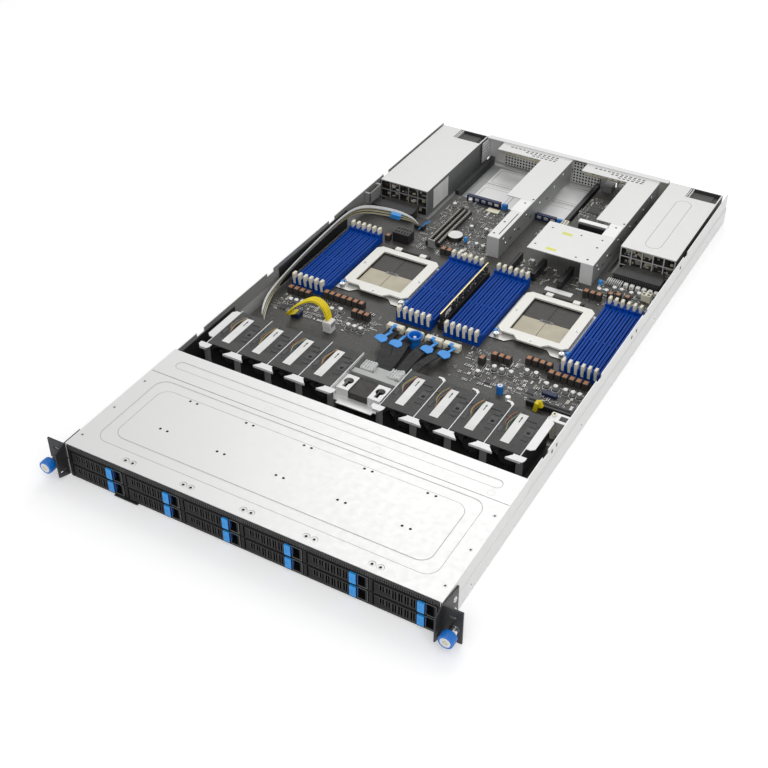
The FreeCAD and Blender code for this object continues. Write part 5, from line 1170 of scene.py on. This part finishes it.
def make_socket_details():
    """Contact field with its dust halves and key, frame screws, springs and corner clips."""
    for side, _ in SIDES:
        low, high = box_of("socket_frame_" + side)
        middle, y, base = (low.x + high.x) / 2, SOCKET_MIDDLE, BOARD_TOP + 3.0
        field = Piece("contact_field_" + side)
        halves = (((y - FIELD_HALF, y - 0.3), SOCKET_CREAM), ((y + 0.3, y + FIELD_HALF), SOCKET_BROWN))
        for along, finish in halves:
            for left in (middle - 31.0, middle + 0.3):
                field.box((left, left + 30.7), along, (base, base + 0.5), finish, 0.15)
        field.box(about(middle, 17.0), about(y, 5.0), (base + 0.4, base + 0.75), ZINC_DARK, 0.2)
        field.box(about(middle, 10.0), about(y, 2.6), (base + 0.7, base + 0.85), SOCKET_BROWN, 0.1)
        rear = (y + FIELD_HALF - 1.0, y + FIELD_HALF + 0.8)
        for shift in spread(4, 16):
            field.box(about(middle + shift, 3.5), rear, (base + 0.3, base + 1.4), CHIP, 0.2)
        field.done()

        screws = Piece("frame_screws_" + side, "frame_" + side)
        plate = high.z - 1.5
        for x, y in shifted(FRAME_SCREWS, middle, SOCKET_MIDDLE):
            screws.peg(x, y, (plate - 0.6, plate + 0.5), 2.6, CHROME, 20, 2.2)
            screws.ring((x, y, plate + 0.4), UP, 1.7, 0.9, 0.2, ZINC_DARK, 16)
        screws.done()

        corner = Piece("socket_base_" + side)
        for sign in (-1, 1):
            x = middle + sign * 42
            corner.box(about(x + sign * 4.6, 4.4), (437.0, 443.0), above(1.1, 4.4), BLUE_TAB, 0.5)
            corner.box(about(x - sign * 1.6, 5.0), (437.4, 441.0), above(1.1, 3.4), PALE, 0.5)
            for i in range(4):
                corner.ring((x, 432, BOARD_TOP + 2.0 + i * 1.2), UP, 3.2, 2.3, 0.55, SILVER, 18)
            corner.peg(x, 432, above(6.9, 7.15), 1.1, HOLE_BLACK, 6)
        corner.done()


# Risers, supplies and rear

OCTAGON = circle(8)
SQUARE = ((1, 0), (1, 1), (0, 1), (-1, 1), (-1, 0), (-1, -1), (0, -1), (1, -1))
ON_RISER = (RISER_TOP - 0.05, RISER_TOP + HOLE_LIFT)
RISER_SCREWS = ((604, 32), (612, 22), (640, 27), (676, 31), (720, 28), (770, 28), (800, 33))
RISER_HOLES = ((-12.0, 632.0), (-12.0, 600.0), (-9.0, 690.0), (-3.0, 704.0))
SHELF_HOLES = ((40.0, 603.0), (44.0, 650.0), (98.0, 598.0), (112.0, 652.0), (84.0, 650.0))
TAPES = ((60.0, 641.0), (56.0, 597.0))


def perforate(piece, corner, right, up, cells, pitch, hole, thick, material):
    """A sheet of square cells, each with an eight-sided hole, spread from one corner."""
    corner, right, up = Vector(corner), Vector(right), Vector(up)
    out = right.cross(up).normalized() * thick
    for column in range(cells[0]):
        for line in range(cells[1]):
            middle = corner + (right * (column + 0.5) + up * (line + 0.5)) * pitch
            rim = [middle + (right * a + up * b) * hole for a, b in OCTAGON]
            edge = [middle + (right * a + up * b) * pitch / 2 for a, b in SQUARE]
            loops = [rim, edge, [point + out for point in edge], [point + out for point in rim]]
            piece.loops(loops, material, closed=True)


def make_riser_details():
    """Screws, holes, slots, cards' parts and tapes of the two riser cages."""
    for side, wall in RISER_WALLS.items():
        trim = Piece("riser_trim_" + side)
        if side == "left":
            trim.box((wall - 5.6, wall - 4.4), (600.0, 660.0), ON_RISER, HOLE_BLACK)
        for x, y in shifted(RISER_HOLES, wall, 0):
            trim.peg(x, y, (RISER_TOP - 0.1, RISER_TOP + HOLE_LIFT), 1.5, HOLE_BLACK, 16)
        for y, z in RISER_SCREWS:
            side_screw(trim, (wall, y, z), 1, (0, 0.7), (0.6, 0.75), (2.2, 1.8, 0.9), 16)
        for y in (626, 652, 690, 745):
            trim.box((wall - 0.05, wall + HOLE_LIFT), about(y, 7.0), (21.0, 23.0), HOLE_BLACK)
        trim.box((wall - 19.0, wall - 0.2), (664.2, 697.8), (RISER_TOP - 1.0, RISER_TOP), ZINC, 0.2)
        for line, first in enumerate((14.0, 40.0, 52.0)):
            for i in range(int((RISER_SPAN - first - 12) / 6.4)):
                x = wall - RISER_SPAN + first + i * 6.4
                trim.box((x, x + 4.0), about(827.5 - line * 5.0, 2.2), ON_RISER, HOLE_BLACK)
        trim.done()

        card = Piece("riser_card_parts_" + side)
        dice = random.Random(23 if side == "left" else 29)
        face = wall - 6.2
        for _ in range(40):
            y, z = dice.uniform(610, 704), dice.uniform(21, 37)
            size, finish = dice.choice((1.4, 2.2, 4.0)), dice.choice((CHIP, SILVER))
            card.box((face - 0.6, face + 0.05), about(y, size), about(z, size * 0.6), finish)
        card.box((face - 7.0, face), (622.0, 690.0), (24.0, 32.0), BLACK_PLASTIC, 0.4)
        card.box((face - 7.1, face - 6.9), (624.0, 688.0), (27.6, 28.4), HOLE_BLACK)
        card.done()

    shelf = Piece("shelf_marks")
    shelf.box((66.0, 107.0), (682.0, 690.0), (RISER_TOP - 1.0, RISER_TOP), ZINC, 0.3)
    shelf.box((68.0, 107.0), (678.0, 689.0), (RISER_TOP - 9.0, RISER_TOP - 0.9), BLACK_PLASTIC, 0.3)
    for x, y in TAPES:
        shelf.box((x, x + 14.0), (y, y + 6.0), (RISER_TOP - 0.05, RISER_TOP + 0.1), TAPE)
    for x, y in SHELF_HOLES:
        shelf.peg(x, y, (RISER_TOP - 0.1, RISER_TOP + HOLE_LIFT), 1.3, HOLE_BLACK, 14)
    shelf.done()


HANDLE_REACH = 17.0
INLET_WIDTH, INLET_HEIGHT, INLET_DEPTH, INLET_WALL = 27.0, 20.0, 16.0, 2.0


def make_inlet(trim, right, base, rear):
    """Black shroud with three pins in a supply's mains inlet."""
    left, top = right - INLET_WIDTH, base + INLET_HEIGHT
    deep = (rear - INLET_DEPTH + 0.05, rear - 0.4)
    hollow, rise = (left + INLET_WALL, right - INLET_WALL), (base + INLET_WALL, top - INLET_WALL)
    for x, z in (
        ((left, hollow[0]), (base, top)), ((hollow[1], right), (base, top)),
        (hollow, (base, rise[0])), (hollow, (rise[1], top)),
    ):
        trim.box(x, deep, z, BLACK_PLASTIC)
    trim.box(hollow, (deep[0], deep[0] + 1.5), rise, BLACK_PLASTIC)
    x, z = (left + right) / 2, (base + top) / 2
    for across, up in ((-7.0, -2.0), (0.0, 2.0), (7.0, -2.0)):
        trim.box(about(x + across, 2.0), (deep[0] + 1.4, rear - 3.0), about(z + up, 4.0), SILVER, 0.4)


def make_supply_details():
    """Parts behind the grille, rear recess, lid marks, bare plate, lid screws and inlet of the supplies."""
    for side, _ in SIDES:
        low, high = box_of("power_supply_" + side)
        trim = Piece("supply_trim_" + side, "supply_" + side)
        dice = random.Random(31 if side == "left" else 37)
        back = SUPPLY_FRONT + 5.0
        for _ in range(90):
            x, z = dice.uniform(low.x + 5, high.x - 5), dice.uniform(low.z + 5, SUPPLY_TOP - 5)
            size = dice.uniform(2.0, 7.0)
            finish = dice.choice((SOCKET_CREAM, SOCKET_CREAM, SOCKET_BROWN, CHIP, ZINC_GREY, SUPPLY_ZINC))
            deep = (back - dice.uniform(0.3, 2.6), back + 0.1)
            trim.box(about(x, size), deep, about(z, size * 0.8), finish, 0.3)
        right, recess = high.x - 1.8, SUPPLY_TOP - 5.0
        trim.box((right - 42, right), (838.4, 839.8), (recess, SUPPLY_TOP - 0.3), FAN_BUMP, 0.2)
        trim.box((right - 38, right - 8), (815, 837), (recess, recess + 1.0), FAN_BUMP, 0.4)
        for x in (right - 41.5, right - 38.5):
            trim.box((x, x + 1.4), (812.4, 838.6), (recess, SUPPLY_TOP - 0.4), SUPPLY_ZINC, 0.2)
        if side == "left":
            trim.box((high.x - 0.02, high.x + 0.12), (668.0, 712.0), (6.0, 36.0), PALE)
        else:
            skin = (SUPPLY_TOP - 0.1, SUPPLY_TOP + HOLE_LIFT)
            trim.line(rounded((low.x + 24, low.x + 46), (664, 800), 10.9, 8), 0.8, skin, ZINC_GREY)
        for y in (700.0, 790.0):
            for x in (low.x + 3.0, high.x - 3.0):
                trim.peg(x, y, (SUPPLY_TOP - 0.1, SUPPLY_TOP + 0.2), 1.1, CHROME, 14, 0.9)
        make_inlet(trim, right, low.z + 1.8, high.y - HANDLE_REACH)
        trim.done()


MESH_PITCH = 4.6
# Left end, lowest edge, and columns and lines of cells of each sheet of mesh.
MESHES = ((-112.0, 4.0, (23, 4)), (-4.95, 4.0, (9, 4)), (-4.95, 22.4, (4, 3)))
PAD_CORNERS = [(x, y) for x in (-112.0, -19.0) for y in (722.0, 778.0)]
RIBBON_WIRES, RIBBON_STEP = 10, 1.1


def make_rear_details():
    """Perforated post and mesh at the rear, and outlines of the floor pads."""
    rear = Piece("rear_mesh")
    perforate(rear, (-138.2, 814.0, 10.0), (0, 1, 0), UP, (5, 6), 5.0, 1.9, 0.5, WHITE_SHEET)
    rear.box((-139.0, -138.3), (814.0, 839.0), (10.0, 40.0), ZINC_DARK)
    for left, base, cells in MESHES:
        perforate(rear, (left, 838.6, base), (1, 0, 0), UP, cells, MESH_PITCH, 1.6, 0.4, SUPPLY_ZINC)
        across, rise = (left, left + cells[0] * MESH_PITCH), (base, base + cells[1] * MESH_PITCH)
        rear.box(across, (839.2, 841.3), rise, HOLE_BLACK)
    for x, y in PAD_CORNERS:
        outline = rounded((x + 4.0, x + 48.0), (y + 4.0, y + 44.0), 6.0)
        rear.line(outline, 0.8, (1.9, 2.05), ZINC_GREY)
    rear.done()


def make_wall_painted_shade_and_liner():
    """Dark sheets inside the walls: behind the fans they are painted shade on the walls and the floor, and
    beside the memory a dark liner that is partly painted shade; and the open bracket on the left wall.
    """
    wall = Piece("wall_painted_shade_and_liner")
    # Painted shade: near-black sheets on the inner walls, and strips on the floor, behind the fans.
    for sign in (-1, 1):
        face = sign * WALL_INSIDE
        wall.box(sorted((face, face - sign * 0.6)), (189.0, 300.0), (2.0, 36.0), BLACK_PLASTIC)
        wall.box(sorted((face, face - sign * 17.0)), (189.0, 290.0), (1.3, 1.7), BLACK_PLASTIC)
    inner = -WALL_INSIDE
    # A dark liner on the left wall beside the memory, partly painted shade.
    wall.box((inner, inner + 1.2), (396.0, 560.0), (BOARD_TOP + 0.2, 37.0), BLACK_PLASTIC, 0.3)
    for y in (608.0, 637.0):
        wall.box((inner, inner + 8.5), (y, y + 3.0), (24.0, 40.0), ZINC_GREY, 0.3)
    wall.box((inner + 7.3, inner + 8.5), (608.0, 640.0), (24.0, 40.0), ZINC_GREY, 0.3)
    wall.done()


def make_ribbon():
    """Grey ribbon cable along the left wall, with its plug, blue tie and blue loop."""
    ribbon = Piece("ribbon_cable")
    for i in range(RIBBON_WIRES):
        s = i * RIBBON_STEP
        lean = -212.6 + s * 0.25
        points = [
            (-192 - s, 324 + s, BOARD_TOP + 0.5), (-204 - s * 0.6, 348, BOARD_TOP + 4 + s * 0.6),
            (lean, 395, 21.0 + s * 0.8), (lean, 450, 27.0 + s * 0.8), (lean + 0.3, 505, 30.0 + s * 0.9),
            (lean + 1.1, 552 + s * 0.2, 31.0 + s), (-200.0, 576 + s * 0.5, 30.0 + s * 0.9),
            (-172.0, 588 + s * 0.7, 27.0 + s * 0.8), (-150.0, 597 + s * 0.5, 23.0 + s * 0.7),
            (-134.0, 605, 18.0 + s * 0.4), (-130.0, 606.5, BOARD_TOP + 2),
        ]
        ribbon.tube(points, 0.55, PALE if i > 6 else (ZINC_GREY, WIRES[2], SLEEVE)[i % 3], 6)
    ribbon.box((-136.0, -122.0), (602.0, 611.0), above(0, 6), BLACK_PLASTIC, 0.5)
    ribbon.box((-166.0, -152.0), (589.5, 595.0), (24.0, 31.5), BLUE_TAB, 0.6, Euler((0.2, 0.25, 0.4)))
    loop = [(-128, 600, 12), (-122, 606, 19), (-118, 616, 19), (-124, 622, 15), (-130, 618, BOARD_TOP)]
    ribbon.tube(loop, 0.7, BLUE_TAB, 6)
    ribbon.done()


def make_board_details():
    """The small parts of the board, each kept clear of those before it."""
    ground = Ground()
    for make in (make_chokes, make_capacitors, make_chips, make_small_parts):
        make(ground)


# Put it together

for make in (
    make_ear_details, make_tray_details, make_cage_strip, make_cover_details, make_wall_details,
    make_fan_tops, make_fan_hooks, make_bracket_details, make_cables, make_pull_tabs,
    make_board_details, make_board_fittings, make_memory_details, make_socket_details,
    make_riser_details, make_supply_details, make_rear_details, make_wall_painted_shade_and_liner, make_ribbon,
):
    make()


# Stage

FLOOR_REACH, FLOOR_GLOW = 6.0, 0.30
WORLD_LIGHT, WORLD_SEEN = 0.5, 0.78
# Name, place in metres, power and size of each lamp.
LAMPS = (("key", (1.0, -1.3, 1.7), 13.0, 1.6), ("rim", (-0.45, 1.5, 1.9), 14.0, 1.6))
EYE, EYE_TURN, LENS, SENSOR = (542.5, -670.3, 879.7), (51.72, 0, 29.68), 57.94, 36.0


def stand(name, data):
    """An object in the scene that isn't part of the server."""
    thing = bpy.data.objects.new(name, data)
    bpy.context.scene.collection.objects.link(thing)
    return thing


def seen_directly(tree):
    """A factor that is 1 for the camera's, mirrors' and glass's own rays, and 0 for light on the object."""
    path = tree.nodes.new("ShaderNodeLightPath")
    total = path.outputs["Is Camera Ray"]
    for ray in ("Is Glossy Ray", "Is Transmission Ray"):
        joined = put(tree.nodes.new("ShaderNodeMath"), operation="MAXIMUM")
        tree.links.new(total, joined.inputs[0])
        tree.links.new(path.outputs[ray], joined.inputs[1])
        total = joined.outputs[0]
    return total


def make_floor():
    """White floor that keeps the object's shadow."""
    mesh = bpy.data.meshes.new("floor")
    corners = [(x * FLOOR_REACH, y * FLOOR_REACH, 0) for x, y in ((-1, -1), (1, -1), (1, 1), (-1, 1))]
    mesh.from_pydata(corners, [], [(0, 1, 2, 3)])
    paint = Paint("floor_white")
    inputs = {0: seen_directly(paint.tree), 1: FLOOR_GLOW}
    glow = paint.node("ShaderNodeMath", inputs, operation="MULTIPLY").outputs[0]
    paint.feed(Base_Color=(0.93, 0.93, 0.93), Roughness=0.9)
    paint.feed(Emission_Color=(1, 1, 1), Emission_Strength=glow)
    mesh.materials.append(paint.material)
    floor = stand("floor", mesh)


def make_light():
    """Even pale surround and two soft lamps."""
    world = put(bpy.data.worlds.new("studio"), use_nodes=True)
    bpy.context.scene.world = world
    tree = world.node_tree
    background = tree.nodes["Background"]
    background.inputs["Color"].default_value = (1, 1, 1, 1)
    level = tree.nodes.new("ShaderNodeMapRange")
    level.inputs["To Min"].default_value = WORLD_LIGHT
    level.inputs["To Max"].default_value = WORLD_SEEN
    tree.links.new(seen_directly(tree), level.inputs["Value"])
    tree.links.new(level.outputs["Result"], background.inputs["Strength"])
    for name, spot, power, size in LAMPS:
        lamp = put(bpy.data.lights.new(name, "AREA"), energy=power, size=size)
        turn = (-Vector(spot)).to_track_quat("-Z", "Y").to_euler()
        put(stand(name, lamp), location=spot, rotation_euler=turn)


def make_camera():
    """The camera at the photograph's angle."""
    eye = put(bpy.data.cameras.new("camera"), sensor_width=SENSOR, lens=LENS, clip_start=0.05)
    turn = Euler([math.radians(angle) for angle in EYE_TURN])
    bpy.context.scene.camera = put(stand("camera", eye), location=row(*EYE), rotation_euler=turn)
    bpy.context.scene.view_settings.view_transform = "Standard"


make_floor()
make_light()
make_camera()
